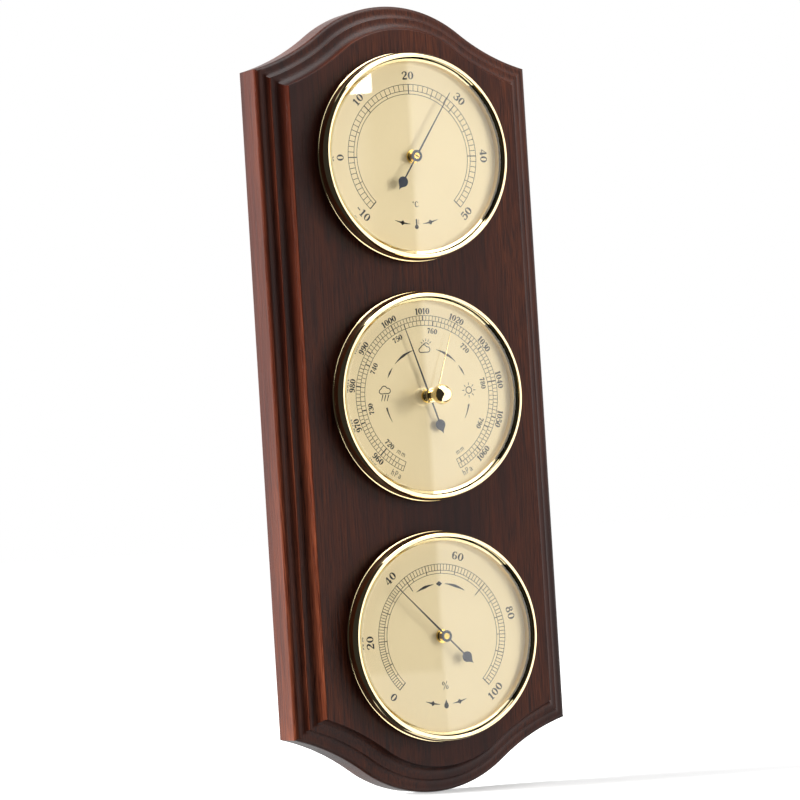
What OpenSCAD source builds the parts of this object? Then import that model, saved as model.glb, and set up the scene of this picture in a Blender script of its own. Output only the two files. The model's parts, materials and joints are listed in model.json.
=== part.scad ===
// Wall weather station: a moulded wooden board with a thermometer, an aneroid barometer
// and a hair hygrometer let into it. Millimetres, front towards -Y, +Z up, origin at the
// middle of the keyhole that hangs the board on the wall, on the back plane of the board.
// Instruments are drawn lying down: local z is the distance in front of the back plane.

/* [Board] */
// Width of the board
board_w = 151; // [130:1:175]
// Height of the board's arches beyond the outer bezels
end_margin = 24.9; // [22:0.1:34]
// Thickness of the plain side below the moulding
side_t = 14.8; // [11:0.2:20]
// Radius of the arch in the middle of the top and bottom edges
arch_r = 65; // [60:1:75]
// Half angle of that arch, up to where the curve turns over
arch_half_angle = 37.2; // [34:0.2:40]
// Radius of the hollow flank that runs from the arch to the corner
flank_r = 106; // [98:1:120]

/* [Moulding] */
// Radius of the rounded outer corner
round_r = 2.6; // [2:0.1:3.4]
// Width of the shallow hollow above it
hollow_w = 3.8; // [3:0.1:4.6]
// Rise of that hollow
hollow_rise = 1.9; // [1.4:0.1:2.2]
// Height of the small step between the two mouldings
step_h = 0.9; // [0.6:0.1:1.4]
// Width of the flat on that step
land_w = 0.4; // [0.3:0.1:1]
// Radius of the inner cove
cove_r = 6; // [5:0.1:7]
// Rounding of the front face's edge
edge_r = 0.4; // [0.3:0.1:0.7]

/* [Hanger] */
// Distance of the keyhole's middle above the upper instrument's bore
hang_gap = 14; // [13:0.1:18]
// Width of the keyhole plate
hang_plate_w = 46; // [42:1:54]
// Height of the keyhole plate
hang_plate_h = 18; // [17:0.5:19]
// Thickness of the keyhole plate
hang_plate_t = 1.5; // [1.2:0.1:2]
// Radius of the keyhole's round hole
keyhole_r = 4.5; // [4:0.1:5]
// Half width of the keyhole's slot
keyslot_r = 2.2; // [1.8:0.1:2.5]
// Distance of each plate screw from the keyhole
hang_screw_x = 17; // [15:0.5:18]
// Radius of a plate screw's shank
hang_screw_r = 1.6; // [1.3:0.1:1.9]
// Radius of a plate screw's head
hang_head_r = 3; // [2.6:0.1:3.3]
// Length of a plate screw below its head
hang_screw_l = 11; // [8:1:14]

/* [Instrument cases] */
// Distance between neighbouring instrument axes
spacing = 117.4; // [114:0.2:120]
// Width of the flange at the front of the drum behind the dial
flange_w = 6.4; // [5.4:0.1:8]
// Wall of the drum and of its back
can_wall = 0.8; // [0.6:0.1:1.2]
// Distance of the drum's back from the wall
can_back = 1.5; // [1.2:0.1:2.2]
// Clearance around the drum in the board's bore
can_gap = 0.6; // [0.4:0.1:1]
// Thickness of the flange
flange_t = 0.6; // [0.5:0.1:0.8]
// Distance of the rubber seat's rim inside the flange's rim
seat_inset = 1.8; // [1.2:0.1:2.4]
// Length of a retaining claw
claw_l = 13; // [12:0.5:15]
// Width of a retaining claw
claw_w = 9; // [8:0.5:11]
// Thickness of a retaining claw
claw_t = 1; // [0.7:0.1:1]
// Radius of a claw screw's shank
claw_screw_r = 1.25; // [1:0.05:1.5]
// Radius of a claw screw's head
claw_head_r = 2.3; // [2.1:0.1:2.6]
// Length of a claw screw below its head
claw_screw_l = 10; // [8:1:13]

/* [Bezel and glass] */
// Outer radius of the polished bezel
bezel_r = 51.5; // [51.3:0.1:52]
// Distance of the bezel's rear edge in front of the board
stand_off = 4; // [3.4:0.1:5]
// Height of the bezel above its rear edge
bezel_h = 8; // [7.8:0.1:8.6]
// Height at which the outer wall starts to curve inwards
bezel_turn = 3.2; // [2.6:0.1:4]
// Wall of the bezel beside the flange, with its bead
bezel_wall = 1.1; // [1:0.1:1.5]
// Distance of the glass's edge inside the bezel's outer radius
glass_inset = 2.2; // [1.9:0.1:2.4]
// Width of the lip that laps over the glass
lip_lap = 0.9; // [0.5:0.1:1.3]
// Thickness of the glass
glass_t = 1.1; // [1:0.1:1.2]
// Height of the dial's face above the bezel's rear edge
dial_rise = 1.5; // [1.4:0.05:1.7]
// Thickness of the dial plate
dial_t = 0.5; // [0.4:0.05:0.5]
// Height of the back of the glass above the dial
glass_rise = 5; // [4.9:0.1:5.6]
// Width of the sight ring that spaces the glass from the dial
sight_w = 2.6; // [2.1:0.1:3.3]
// Height of the sight ring's upright inner wall
sight_wall = 2.9; // [2.4:0.1:3.4]

/* [Pointers] */
// Length of a pointer from its axis to its tip
pointer_l = 37.2; // [34:0.2:39]
// Length of a pointer's tail from its axis to its point
tail_l = 19.8; // [18:0.2:22]
// Distance of the tail's spade from the axis
spade_x = 15.2; // [14:0.2:16]
// Radius of the tail's spade
spade_r = 2.6; // [2.2:0.1:3]
// Width of a pointer at its hub
blade_w = 0.9; // [0.8:0.05:1.2]
// Width of a pointer at its tip
tip_w = 0.35; // [0.3:0.05:0.5]
// Thickness of a pointer
pointer_t = 0.3; // [0.25:0.05:0.4]
// Outer radius of a pointer's hub
hub_r = 2.9; // [2.6:0.1:3.2]
// Radius of the arbor's slotted head inside the hub
head_r = 1.5; // [1.3:0.05:1.6]
// Height of the outer pointers above the dial
pointer_rise = 4.45; // [4.3:0.05:4.5]
// Height of the barometer's pointer above the dial
baro_pointer_rise = 2.6; // [2.4:0.1:3.2]
// Radius of an arbor
arbor_r = 0.75; // [0.6:0.05:0.85]
// Running clearance of an arbor in its bushes
run_gap = 0.05; // [0.03:0.01:0.08]
// Radius of the flange of a brass bush on the dial
bush_flange_r = 3.4; // [3.1:0.1:3.8]
// Outer radius of that bush
bush_r = 2; // [1.8:0.05:2.2]

/* [Set hand] */
// Radius of the knob that turns the set hand
knob_r = 4.9; // [4.4:0.1:5.4]
// Height of the knob's middle above the glass
knob_rise = 9.2; // [8.6:0.1:10]
// Radius of the knob's stem
stem_r = 1.5; // [1.2:0.1:1.7]
// Length of the set hand from its axis to its tip
set_hand_l = 32; // [29:0.5:34]
// Width of the set hand
set_hand_w = 0.8; // [0.6:0.05:1]
// Width of the set hand at its tip
set_tip_w = 0.4; // [0.3:0.05:0.5]
// Thickness of the set hand
set_hand_t = 0.4; // [0.3:0.05:0.5]
// Outer radius of the set hand's hub
set_hub_r = 2.6; // [2.3:0.1:3]
// Height of the set hand above the glass
set_hand_rise = 3.7; // [3.4:0.1:3.9]

/* [Readings] */
// Temperature that the thermometer shows, in degrees Celsius
temperature = 27.5; // [-10:0.5:50]
// Pressure that the barometer shows, in hectopascals
pressure = 1003; // [960:1:1060]
// Pressure that the set hand marks, in hectopascals
set_pressure = 1017; // [960:1:1060]
// Turn of the hygrometer's pointer from upright, clockwise
humidity_turn = -45; // [-130:1:130]

/* [Movements] */
// Radius of a bridge plate's row of pillars
pillar_x = 27; // [25:0.5:30]
// Radius of a pillar
pillar_r = 1.8; // [1.5:0.1:2.2]
// Width of a bridge plate
bridge_w = 10; // [9:0.5:12]
// Thickness of a bridge plate
bridge_t = 1.2; // [1:0.1:1.6]
// Distance of the outer bridges from the wall
bridge_back = 11; // [9:0.5:13]
// Outer radius of the bimetal coil
coil_r = 16; // [14:0.5:18]
// Turns of the bimetal coil
coil_turns = 5; // [4:1:6]
// Thickness of the bimetal strip
coil_strip_t = 0.5; // [0.4:0.05:0.6]
// Width of the bimetal strip
coil_strip_w = 4.5; // [4:0.5:6]
// Outer radius of a hairspring
hairspring_r = 5; // [4.5:0.25:6]
// Radius of the aneroid capsule
capsule_r = 17; // [15:0.5:19]
// Height of the aneroid capsule
capsule_h = 6.4; // [5.5:0.1:7]
// Length of the hygrometer's hair bundle
hair_l = 27; // [25:0.5:28]

/* [Hidden] */
$fn = 96;
wood = [0.26, 0.13, 0.11];
brass = [0.86, 0.68, 0.28];
steel = [0.72, 0.73, 0.75];
blued = [0.17, 0.20, 0.27];
champagne = [0.89, 0.81, 0.64];
rubber = [0.08, 0.08, 0.08];

// Depths in front of the back plane
hollow_r = (hollow_w^2+hollow_rise^2)/(2*hollow_rise);
hollow_angle = 2*atan(hollow_rise/hollow_w);
cove_x = round_r+hollow_w+land_w;
cove_d = side_t+round_r+hollow_rise+step_h;
mould_w = cove_x+cove_r+edge_r;
board_t = cove_d+cove_r+edge_r;
bezel_back = board_t+stand_off;
dial_face = bezel_back+dial_rise;
dial_back = dial_face-dial_t;
flange_back = dial_back-flange_t;
glass_back = dial_face+glass_rise;
glass_front = glass_back+glass_t;
can_floor = can_back+can_wall;

// Radii of an instrument, from the bezel inwards
fit = 0.1;
flange_r = bezel_r-bezel_wall;
seat_r = flange_r-seat_inset;
can_r = flange_r-flange_w;
bore_r = can_r+can_gap;
glass_r = bezel_r-glass_inset;
lip_r = glass_r-lip_lap;
sight_r = glass_r-sight_w;
dial_r = glass_r-fit;
bezel_bore_r = glass_r+0.15;
over = 1;

// Heights: the board between the tops of its arches, and the keyhole above the middle axis
board_h = 2*(spacing+bezel_r+end_margin);
hang_rise = spacing+bore_r+hang_gap;

// Pointers, degrees clockwise from upright: 270 degrees for 60 degrees Celsius or 100 hPa
thermo_turn = 4.5*(temperature-20);
baro_turn = 2.7*(pressure-1010);
set_turn = 2.7*(set_pressure-1010);

function arc(x, y, r, from, to, steps) =
    [for (i = [0:steps]) let (a = from+(to-from)*i/steps) [x+r*cos(a), y+r*sin(a)]];
function flipped(points) = [for (i = [len(points)-1:-1:0]) points[i]];

// Section of the board's edge: distance in from the outline, distance from the back
edge_curve = concat(
    arc(round_r, side_t, round_r, 180, 90, 4),
    [for (i = [1:3]) let (a = 270+hollow_angle*i/3)
        [round_r+hollow_r*cos(a), side_t+round_r+hollow_r*(1+sin(a))]],
    [[cove_x-land_w, cove_d]],
    arc(cove_x, cove_d+cove_r, cove_r, 270, 360, 6),
    [[mould_w, board_t]]);

// Upper edge of the board, from corner to corner: [point at no inset, inward direction]
arch_y = board_h/2-arch_r;
flank_x = (arch_r+flank_r)*sin(arch_half_angle);
flank_y = arch_y+(arch_r+flank_r)*cos(arch_half_angle);
flank_end = asin((flank_x-board_w/2-5)/(flank_r+mould_w));
flank_steps = 6;
arch_steps = 14;
flank_right = [for (i = [1:flank_steps]) let (a = arch_half_angle+(flank_end-arch_half_angle)*i/flank_steps)
    [[flank_x-flank_r*sin(a), flank_y-flank_r*cos(a)], [-sin(a), -cos(a)]]];
flank_left = [for (s = flipped(flank_right)) [[-s[0].x, s[0].y], [-s[1].x, s[1].y]]];
arch = [for (i = [0:arch_steps]) let (a = arch_half_angle*(2*i/arch_steps-1))
    [[arch_r*sin(a), arch_y+arch_r*cos(a)], [-sin(a), -cos(a)]]];
stations = concat(flank_left, arch, flank_right);
cut_reach = 45;

// Places a piece on the axis that lies rise above the middle one, lying with local z forward
module on_axis(rise) { translate([0, 0, rise-hang_rise]) rotate([90, 0, 0]) children(); }
module on_thermo() { on_axis(spacing) children(); }
module on_baro() { on_axis(0) children(); }
module on_hygro() { on_axis(-spacing) children(); }
module clockwise(turn) { rotate([0, 0, -turn]) children(); }
module tube(r, bore, from, to) {
    difference() {
        translate([0, 0, from]) cylinder(r = r, h = to-from);
        translate([0, 0, from-over]) cylinder(r = bore, h = to-from+2*over);
    }
}
module rod(r, from, to) { translate([0, 0, from]) cylinder(r = r, h = to-from); }

// Board: a bar with both sides moulded, cut to the curve and moulding at each end
module board_bar() {
    left = [for (p = edge_curve) [p.x-board_w/2, p.y]];
    right = [for (p = flipped(edge_curve)) [board_w/2-p.x, p.y]];
    length = board_h+2*over;
    translate([0, length/2, 0]) rotate([90, 0, 0]) linear_extrude(length)
        polygon(concat([[-board_w/2, 0]], left, right, [[board_w/2, 0]]));
}
module end_cutter() {
    section = concat([[-cut_reach, board_t+over], [-cut_reach, -over], [0, -over]],
        edge_curve, [[mould_w, board_t+over]]);
    n = len(section);
    last = len(stations)-1;
    points = [for (s = stations, q = section) [s[0].x+q.x*s[1].x, s[0].y+q.x*s[1].y, q.y]];
    sides = [for (i = [0:last-1], j = [0:n-1]) let (k = (j+1)%n) [i*n+j, i*n+k, (i+1)*n+k, (i+1)*n+j]];
    first_cap = [for (j = [0:n-1]) (n-j)%n];
    last_cap = [for (j = [0:n-1]) last*n+j];
    polyhedron(points, concat([first_cap, last_cap], sides));
}
module claw_places() {
    for (rise = [spacing, 0, -spacing], a = claw_turns)
        translate([0, rise, 0]) rotate([0, 0, a]) children();
}
claw_turns = [30, 150, 270];
claw_lap = 4.5;
claw_from = can_r-claw_lap;
claw_screw_x = bore_r+4;
claw_head_t = can_back-claw_t-0.05;
slot_w = 0.7;
keyslot_rise = 5;
keyhole_depth = 9;
hang_plate_y = 1;
module keyhole(r, slot_r, from, depth) {
    translate([0, 0, from]) cylinder(r = r, h = depth);
    translate([0, keyslot_rise, from]) cylinder(r = slot_r, h = depth);
    translate([-slot_r, 0, from]) cube([2*slot_r, keyslot_rise, depth]);
}
hang_head_t = 0.6;
hang_head_floor = 0.7;
module hang_screw_places() {
    for (x = [-hang_screw_x, hang_screw_x]) translate([x, hang_plate_y, 0]) children();
}
module hang_plate_blank(margin, depth) {
    translate([-hang_plate_w/2-margin, hang_plate_y-hang_plate_h/2-margin, hang_plate_t-depth])
        cube([hang_plate_w+2*margin, hang_plate_h+2*margin, depth]);
}
module board() {
    color(wood) translate([0, 0, -hang_rise]) rotate([90, 0, 0]) difference() {
        board_bar();
        end_cutter();
        mirror([0, 1, 0]) end_cutter();
        for (rise = [spacing, 0, -spacing]) translate([0, rise, 0]) rod(bore_r, -over, board_t+over);
        claw_places() {
            translate([can_r-over, -claw_w/2-0.3, -over])
                cube([claw_from+claw_l+0.3-can_r+over, claw_w+0.6, can_back+over]);
            translate([claw_screw_x, 0, 0]) rod(claw_screw_r+0.05, 0, can_back-claw_t+claw_screw_l+0.5);
        }
        translate([0, hang_rise, 0]) {
            hang_plate_blank(0.15, hang_plate_t+over);
            keyhole(keyhole_r+0.4, keyhole_r+0.4, 0, keyhole_depth);
            hang_screw_places() rod(hang_screw_r+0.05, 0, hang_head_floor+hang_screw_l+0.5);
        }
    }
}
module hanger_plate() {
    color(steel) rotate([90, 0, 0]) difference() {
        hang_plate_blank(0, hang_plate_t);
        keyhole(keyhole_r, keyslot_r, -over, hang_plate_t+2*over);
        hang_screw_places() {
            rod(hang_screw_r+fit, -over, hang_plate_t+over);
            rod(hang_head_r+fit, -over, hang_head_floor);
        }
    }
}
module screw(head_r, head_t, shank_r, length, floor) {
    difference() {
        union() {
            rod(head_r, floor-head_t, floor);
            rod(shank_r, floor-0.01, floor+length);
        }
        translate([-head_r-over, -slot_w/2, floor-head_t-over])
            cube([2*(head_r+over), slot_w, over+head_t/2]);
    }
}
module hanger_screws() {
    color(steel) rotate([90, 0, 0]) hang_screw_places()
        screw(hang_head_r, hang_head_t, hang_screw_r, hang_screw_l, hang_head_floor);
}

// Case: a drum with a flange in front, a seat ring under it and claws behind it
adjust_r = 3;
vent_r = 1.5;
vent_inset = 6;
module can(hole, vents) {
    difference() {
        rotate_extrude() polygon([[0, can_back], [can_r, can_back], [can_r, flange_back],
            [flange_r, flange_back], [flange_r, dial_back], [can_r-can_wall, dial_back],
            [can_r-can_wall, can_floor], [0, can_floor]]);
        translate([hole.x, hole.y, 0]) rod(adjust_r, can_back-over, can_floor+over);
        for (i = [0:vents-1]) rotate([0, 0, 360*(i+0.5)/vents]) translate([can_r-vent_inset, 0, 0])
            rod(vent_r, can_back-over, can_floor+over);
    }
}
module seat() { tube(seat_r, can_r+0.3, board_t, flange_back); }
module claws() {
    for (a = claw_turns) rotate([0, 0, a]) difference() {
        translate([claw_from, -claw_w/2, can_back-claw_t]) cube([claw_l, claw_w, claw_t]);
        translate([claw_screw_x, 0, 0]) rod(claw_screw_r+fit, 0, can_back+over);
    }
}
module claw_screws() {
    for (a = claw_turns) rotate([0, 0, a]) translate([claw_screw_x, 0, 0])
        screw(claw_head_r, claw_head_t, claw_screw_r, claw_screw_l, can_back-claw_t);
}

// Bezel, glass, sight ring and dial
bead_r = 0.45;
wall_r = bezel_r-0.25;
crest_r = lip_r+0.8;
hook_r = flange_r-0.5;
groove_r = flange_r+0.1;
module bezel() {
    turn_d = bezel_back+bezel_turn;
    rise = bezel_h-bezel_turn;
    shoulder = [for (i = [0:10]) let (a = 9*i) [crest_r+(wall_r-crest_r)*cos(a), turn_d+rise*sin(a)]];
    lip = [for (i = [1:4]) let (a = 22.5*i)
        [crest_r-(crest_r-lip_r)*sin(a), glass_front+(bezel_back+bezel_h-glass_front)*cos(a)]];
    rotate_extrude() polygon(concat(
        [[hook_r, bezel_back]], arc(bezel_r-bead_r, bezel_back+bead_r, bead_r, -90, 63, 6), shoulder, lip,
        [[bezel_bore_r, glass_front], [bezel_bore_r, dial_back], [groove_r, dial_back],
            [groove_r, flange_back], [hook_r, flange_back]]));
}
module glass_disc(hole) {
    difference() {
        rod(glass_r, glass_back, glass_front);
        if (hole > 0) rod(hole, glass_back-over, glass_front+over);
    }
}
module sight_ring() {
    rotate_extrude() polygon([[sight_r, dial_face], [sight_r, dial_face+sight_wall], [lip_r+0.1, glass_back],
        [dial_r, glass_back], [dial_r, dial_face]]);
}
shank_r = bush_r+0.6;
module dial() { tube(dial_r, shank_r, dial_back, dial_face); }
rivet_t = 0.8;
module bush(top) {
    difference() {
        union() {
            rod(shank_r+0.9, dial_back-rivet_t, dial_back);
            rod(shank_r, dial_back-0.01, dial_face+0.01);
            rod(bush_flange_r, dial_face, dial_face+0.9);
            rod(bush_r, dial_face+0.9, top);
        }
        rod(arbor_r+run_gap, dial_back-rivet_t-over, top+over);
    }
}

// Pointers and arbors
pointer_d = dial_face+pointer_rise;
baro_pointer_d = dial_face+baro_pointer_rise;
spade_neck = 40;
point_w = 0.4;
module pointer(middle) {
    spade = [for (i = [0:12]) let (a = 180-spade_neck-i*(180-spade_neck)/6)
        [spade_r*sin(a), -spade_x+spade_r*cos(a)]];
    neck_y = -spade_x-spade_r*cos(spade_neck);
    flank = [for (s = [0.2:0.2:0.8])
        [point_w/2+(spade_r*sin(spade_neck)-point_w/2)*(1-s)^1.7, neck_y-s*(tail_l+neck_y)]];
    translate([0, 0, middle]) linear_extrude(pointer_t, center = true) difference() {
        union() {
            circle(hub_r);
            polygon([[-blade_w/2, -spade_x], [blade_w/2, -spade_x], [blade_w/2, 0],
                [tip_w/2, pointer_l], [-tip_w/2, pointer_l], [-blade_w/2, 0]]);
            polygon(concat(spade, [for (q = flank) [-q.x, q.y]], [[0, -tail_l]], flipped(flank)));
        }
        circle(head_r);
    }
}
module arbor(back, pointer_at) {
    top = pointer_at+pointer_t/2+0.1;
    difference() {
        union() {
            rod(arbor_r, back, pointer_at);
            rod(head_r, pointer_at-pointer_t/2, top);
        }
        translate([-head_r-over, -0.2, top-0.25]) cube([2*head_r+2*over, 0.4, over]);
    }
}

// A flat spiral strip from one radius to another, ending at the top
module spiral(from_r, to_r, turns, thick, width) {
    steps = 24*turns;
    function at(i, side) = let (a = 90+360*i/24-360*turns, r = from_r+(to_r-from_r)*i/steps+side*thick/2)
        [r*cos(a), r*sin(a)];
    linear_extrude(width) polygon(concat([for (i = [0:steps]) at(i, 1)], [for (i = [steps:-1:0]) at(i, -1)]));
}

// Bridge behind a dial: a strip with two pillars and the bearing of the arbor
bridge_end = 4;
module bridge() {
    difference() {
        union() {
            translate([-pillar_x-bridge_end, -bridge_w/2, bridge_back])
                cube([2*(pillar_x+bridge_end), bridge_w, bridge_t]);
            for (x = [-pillar_x, pillar_x]) translate([x, 0, 0])
                rod(pillar_r, bridge_back+bridge_t-0.01, dial_back);
            rod(2, bridge_back-1.2, bridge_back+0.01);
        }
        rod(arbor_r+run_gap, bridge_back-1.2-over, bridge_back+bridge_t+over);
    }
}
coil_d = bridge_back+bridge_t+2;
collet_r = 2.2;
zero_post_r = 0.9;
zero_post_y = coil_r+coil_strip_t/2+zero_post_r;
outer_arbor_back = bridge_back+0.2;
hairspring_t = 0.15;
spring_post_y = hairspring_r+hairspring_t/2+0.7;
module thermo_bridge() { color(brass) on_thermo() bridge(); }
module thermo_coil() {
    color([0.62, 0.56, 0.45]) on_thermo() translate([0, 0, coil_d])
        spiral(collet_r+coil_strip_t/2, coil_r, coil_turns, coil_strip_t, coil_strip_w);
}
module thermo_zero_arm() {
    back = bridge_back-1.1;
    color(steel) on_thermo() difference() {
        union() {
            rod(4.5, back, bridge_back-0.05);
            translate([-1.5, 0, back]) cube([3, zero_post_y+1.5, 1]);
            translate([0, zero_post_y, 0]) rod(zero_post_r, back+0.5, coil_d+coil_strip_w);
        }
        rod(2+run_gap, back-over, bridge_back+over);
        translate([-5, -0.4, back-over]) cube([10, 0.8, over+0.4]);
    }
}

// Hygrometer: hairs wound on the arbor's drum, an eccentric screw that draws them, a hairspring
hair_r = 0.35;
hair_drum_r = 1.2;
hair_x = hair_drum_r+hair_r;
hair_d = bridge_back+11;
pin_r = 0.6;
pin_x = hair_x-hair_r-pin_r;
screw_axis_x = pin_x-1;
hair_screw_r = 1.8;
module hygro_bridge() {
    color(brass) on_hygro() {
        bridge();
        translate([0, spring_post_y, 0]) rod(0.7, bridge_back+bridge_t-0.01, bridge_back+bridge_t+3.2);
        translate([-1.5, bridge_w/2-0.01, bridge_back]) cube([3, hairspring_r+2-bridge_w/2, bridge_t]);
    }
}
module hygro_drum() { color(brass) on_hygro() {
    tube(hair_drum_r, arbor_r, hair_d-2, hair_d+2);
    tube(2.2, arbor_r, hair_d+2, hair_d+2.6);
} }
module hygro_hair() {
    color([0.35, 0.26, 0.18]) on_hygro() translate([hair_x, 0.5, hair_d])
        rotate([90, 0, 0]) cylinder(r = hair_r, h = hair_l+1);
}
module hygro_hairspring() {
    color(blued) on_hygro() translate([0, 0, bridge_back+bridge_t+2])
        spiral(arbor_r+hairspring_t/2, hairspring_r, 5, hairspring_t, 0.6);
}
module hygro_bracket() {
    color(brass) on_hygro() difference() {
        union() {
            translate([-6, -hair_l-9, bridge_back]) cube([12, 13, bridge_t]);
            translate([0, -hair_l-6, 0]) rod(pillar_r, bridge_back+bridge_t-0.01, dial_back);
        }
        translate([screw_axis_x, -hair_l, 0])
            rod(hair_screw_r+run_gap, bridge_back-over, bridge_back+bridge_t+over);
    }
}
module hygro_screw() {
    color(steel) on_hygro() difference() {
        union() {
            translate([screw_axis_x, -hair_l, 0]) {
                rod(hair_screw_r, bridge_back-0.1, bridge_back+bridge_t+0.1);
                rod(hair_screw_r+0.6, bridge_back-1.1, bridge_back-0.1);
                rod(hair_screw_r+0.4, bridge_back+bridge_t+0.1, bridge_back+bridge_t+0.8);
            }
            translate([pin_x, -hair_l, 0]) rod(pin_r, bridge_back+bridge_t+0.5, hair_d+1.5);
        }
        translate([screw_axis_x-4, -hair_l-0.4, bridge_back-1.1-over]) cube([8, 0.8, over+0.5]);
    }
}

// Barometer: capsule, leaf spring, rocking shaft, chain to the arbor's drum, hairspring
plate_r = 36;
plate_t = 1.2;
plate_top = can_floor+plate_t;
capsule_d = plate_top+1;
capsule_top = capsule_d+capsule_h;
spring_t = 1.3;
spring_w = 24;
spring_top = capsule_top+3.7;
spring_back_x = -31;
spring_tip_x = 16;
rocker_x = 18.2;
rocker_d = spring_top-1.6;
rocker_r = 0.9;
rocker_post_y = 10.5;
chain_rise = 13;
cock_rise = 7;
chain_d = rocker_d+chain_rise;
cock_d = rocker_d+cock_rise;
cock_w = 8;
cock_t = 1.2;
cock_end = 4;
drum_r = 0.95;
chain_t = 0.3;
pressure_screw_x = -25.5;
module baro_plate() {
    color(brass) on_baro() difference() {
        union() {
            rod(plate_r, can_floor, plate_top);
            for (y = [-rocker_post_y, rocker_post_y]) translate([rocker_x, y, 0])
                rod(1.5, plate_top-0.01, rocker_d+2);
            for (y = [-pillar_x, pillar_x]) translate([0, y, 0]) rod(pillar_r, plate_top-0.01, cock_d);
        }
        translate([pressure_screw_x, 0, 0]) rod(1.5+run_gap, can_floor-over, plate_top+over);
        translate([rocker_x, rocker_post_y+2, rocker_d]) rotate([90, 0, 0])
            cylinder(r = rocker_r+run_gap, h = 2*rocker_post_y+4);
    }
}
module baro_capsule() {
    ridges = 5;
    pitch = (capsule_r-5)/ridges;
    shell = [for (i = [0:ridges-1], q = [[0, 0], [0.3, 0.5], [0.7, 0.5]]) [capsule_r-1.5-(i+q.x)*pitch, q.y]];
    half = capsule_h/2-0.6;
    middle = capsule_d+capsule_h/2;
    color(steel) on_baro() {
        rotate_extrude() polygon(concat([[0, middle-half]], flipped([for (q = shell) [q.x, middle-half-q.y]]),
            [[capsule_r-1.5, middle-0.4], [capsule_r, middle-0.4],
                [capsule_r, middle+0.4], [capsule_r-1.5, middle+0.4]],
            [for (q = shell) [q.x, middle+half+q.y]], [[0, middle+half]]));
        rod(4, plate_top, middle-half+0.01);
        rod(3, middle+half-0.01, capsule_top+0.8);
    }
}
module baro_stud() {
    color(steel) on_baro() {
        rod(1.2, capsule_top+0.8, spring_top+1.5);
        rod(2, spring_top, spring_top+1.2);
    }
}
module baro_spring() {
    under = spring_top-spring_t;
    bend = 3;
    outer = arc(spring_back_x+bend, spring_top-bend, bend, 180, 90, 5);
    inner = flipped(arc(spring_back_x+bend, spring_top-bend, bend-spring_t, 180, 90, 5));
    color([0.55, 0.56, 0.6]) on_baro() difference() {
        translate([0, spring_w/2, 0]) rotate([90, 0, 0]) linear_extrude(spring_w) polygon(concat(
            [[spring_back_x, plate_top]], outer, [[spring_tip_x, spring_top], [spring_tip_x, under]], inner,
            [[spring_back_x+spring_t, plate_top+spring_t], [spring_back_x+10, plate_top+spring_t],
                [spring_back_x+10, plate_top]]));
        rod(1.2+fit, under-over, spring_top+over);
    }
}
module baro_rocker() {
    color(steel) on_baro() {
        translate([rocker_x, rocker_post_y+1, rocker_d]) rotate([90, 0, 0])
            cylinder(r = rocker_r, h = 2*rocker_post_y+2);
        translate([rocker_x, 3, rocker_d]) rotate([90, 0, 0]) cylinder(r = 1.6, h = 6);
        translate([spring_tip_x-2.2, -1, spring_top+1.2]) cube([rocker_x-spring_tip_x+2.2, 2, 1]);
        translate([rocker_x-1, -1, rocker_d]) cube([2, 2, spring_top+2.2-rocker_d]);
        translate([spring_tip_x-1.2, 0, 0]) rod(0.7, spring_top, spring_top+1.3);
        translate([rocker_x-0.6, -1.8, rocker_d]) cube([1.2, 2.6, chain_d+1-rocker_d]);
    }
}
module baro_chain() {
    color(steel) on_baro() translate([0, -drum_r-chain_t, chain_d-chain_t/2])
        cube([rocker_x-0.6, chain_t, chain_t]);
}
module baro_cock() {
    color(brass) on_baro() difference() {
        union() {
            translate([-cock_w/2, -pillar_x-cock_end, cock_d]) cube([cock_w, 2*(pillar_x+cock_end), cock_t]);
            translate([0, spring_post_y, 0]) rod(0.7, cock_d+cock_t-0.01, cock_d+3.4);
        }
        rod(arbor_r+run_gap, cock_d-over, cock_d+cock_t+over);
    }
}
module baro_hairspring() {
    color(blued) on_baro() translate([0, 0, cock_d+2.2])
        spiral(arbor_r+hairspring_t/2, hairspring_r, 5, hairspring_t, 0.6);
}
module baro_screw() {
    color(brass) on_baro() translate([pressure_screw_x, 0, 0]) difference() {
        union() {
            rod(2.4, can_back+0.1, can_floor-0.05);
            rod(1.5, can_floor-0.1, plate_top-0.05);
        }
        translate([-3, -0.35, can_back-over]) cube([6, 0.7, over+0.4]);
    }
}

// Set hand: a knob whose stem turns in a bush through the glass
set_shank_r = 2.4;
set_hand_d = glass_front+set_hand_rise;
module set_bush() {
    color(brass) on_baro() difference() {
        union() {
            rod(set_shank_r+1, glass_back-0.35, glass_back);
            rod(set_shank_r, glass_back-0.01, glass_front+0.01);
            rod(set_shank_r+1.1, glass_front, glass_front+0.6);
            rod(set_shank_r, glass_front+0.59, set_hand_d-set_hand_t/2-0.1);
        }
        rod(stem_r+run_gap, glass_back-over, set_hand_d);
    }
}
module set_hand() {
    color(brass) on_baro() clockwise(set_turn) translate([0, 0, set_hand_d])
        linear_extrude(set_hand_t, center = true) difference() {
            union() {
                circle(set_hub_r);
                polygon([[-set_hand_w/2, 0], [set_hand_w/2, 0], [set_tip_w/2, set_hand_l],
                    [-set_tip_w/2, set_hand_l]]);
            }
            circle(stem_r);
        }
}
module set_knob() {
    color(brass) on_baro() {
        rod(stem_r+0.7, glass_back-1, glass_back-0.45);
        rod(stem_r, glass_back-0.5, glass_front+knob_rise);
        translate([0, 0, glass_front+knob_rise]) sphere(knob_r);
    }
}

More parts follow.
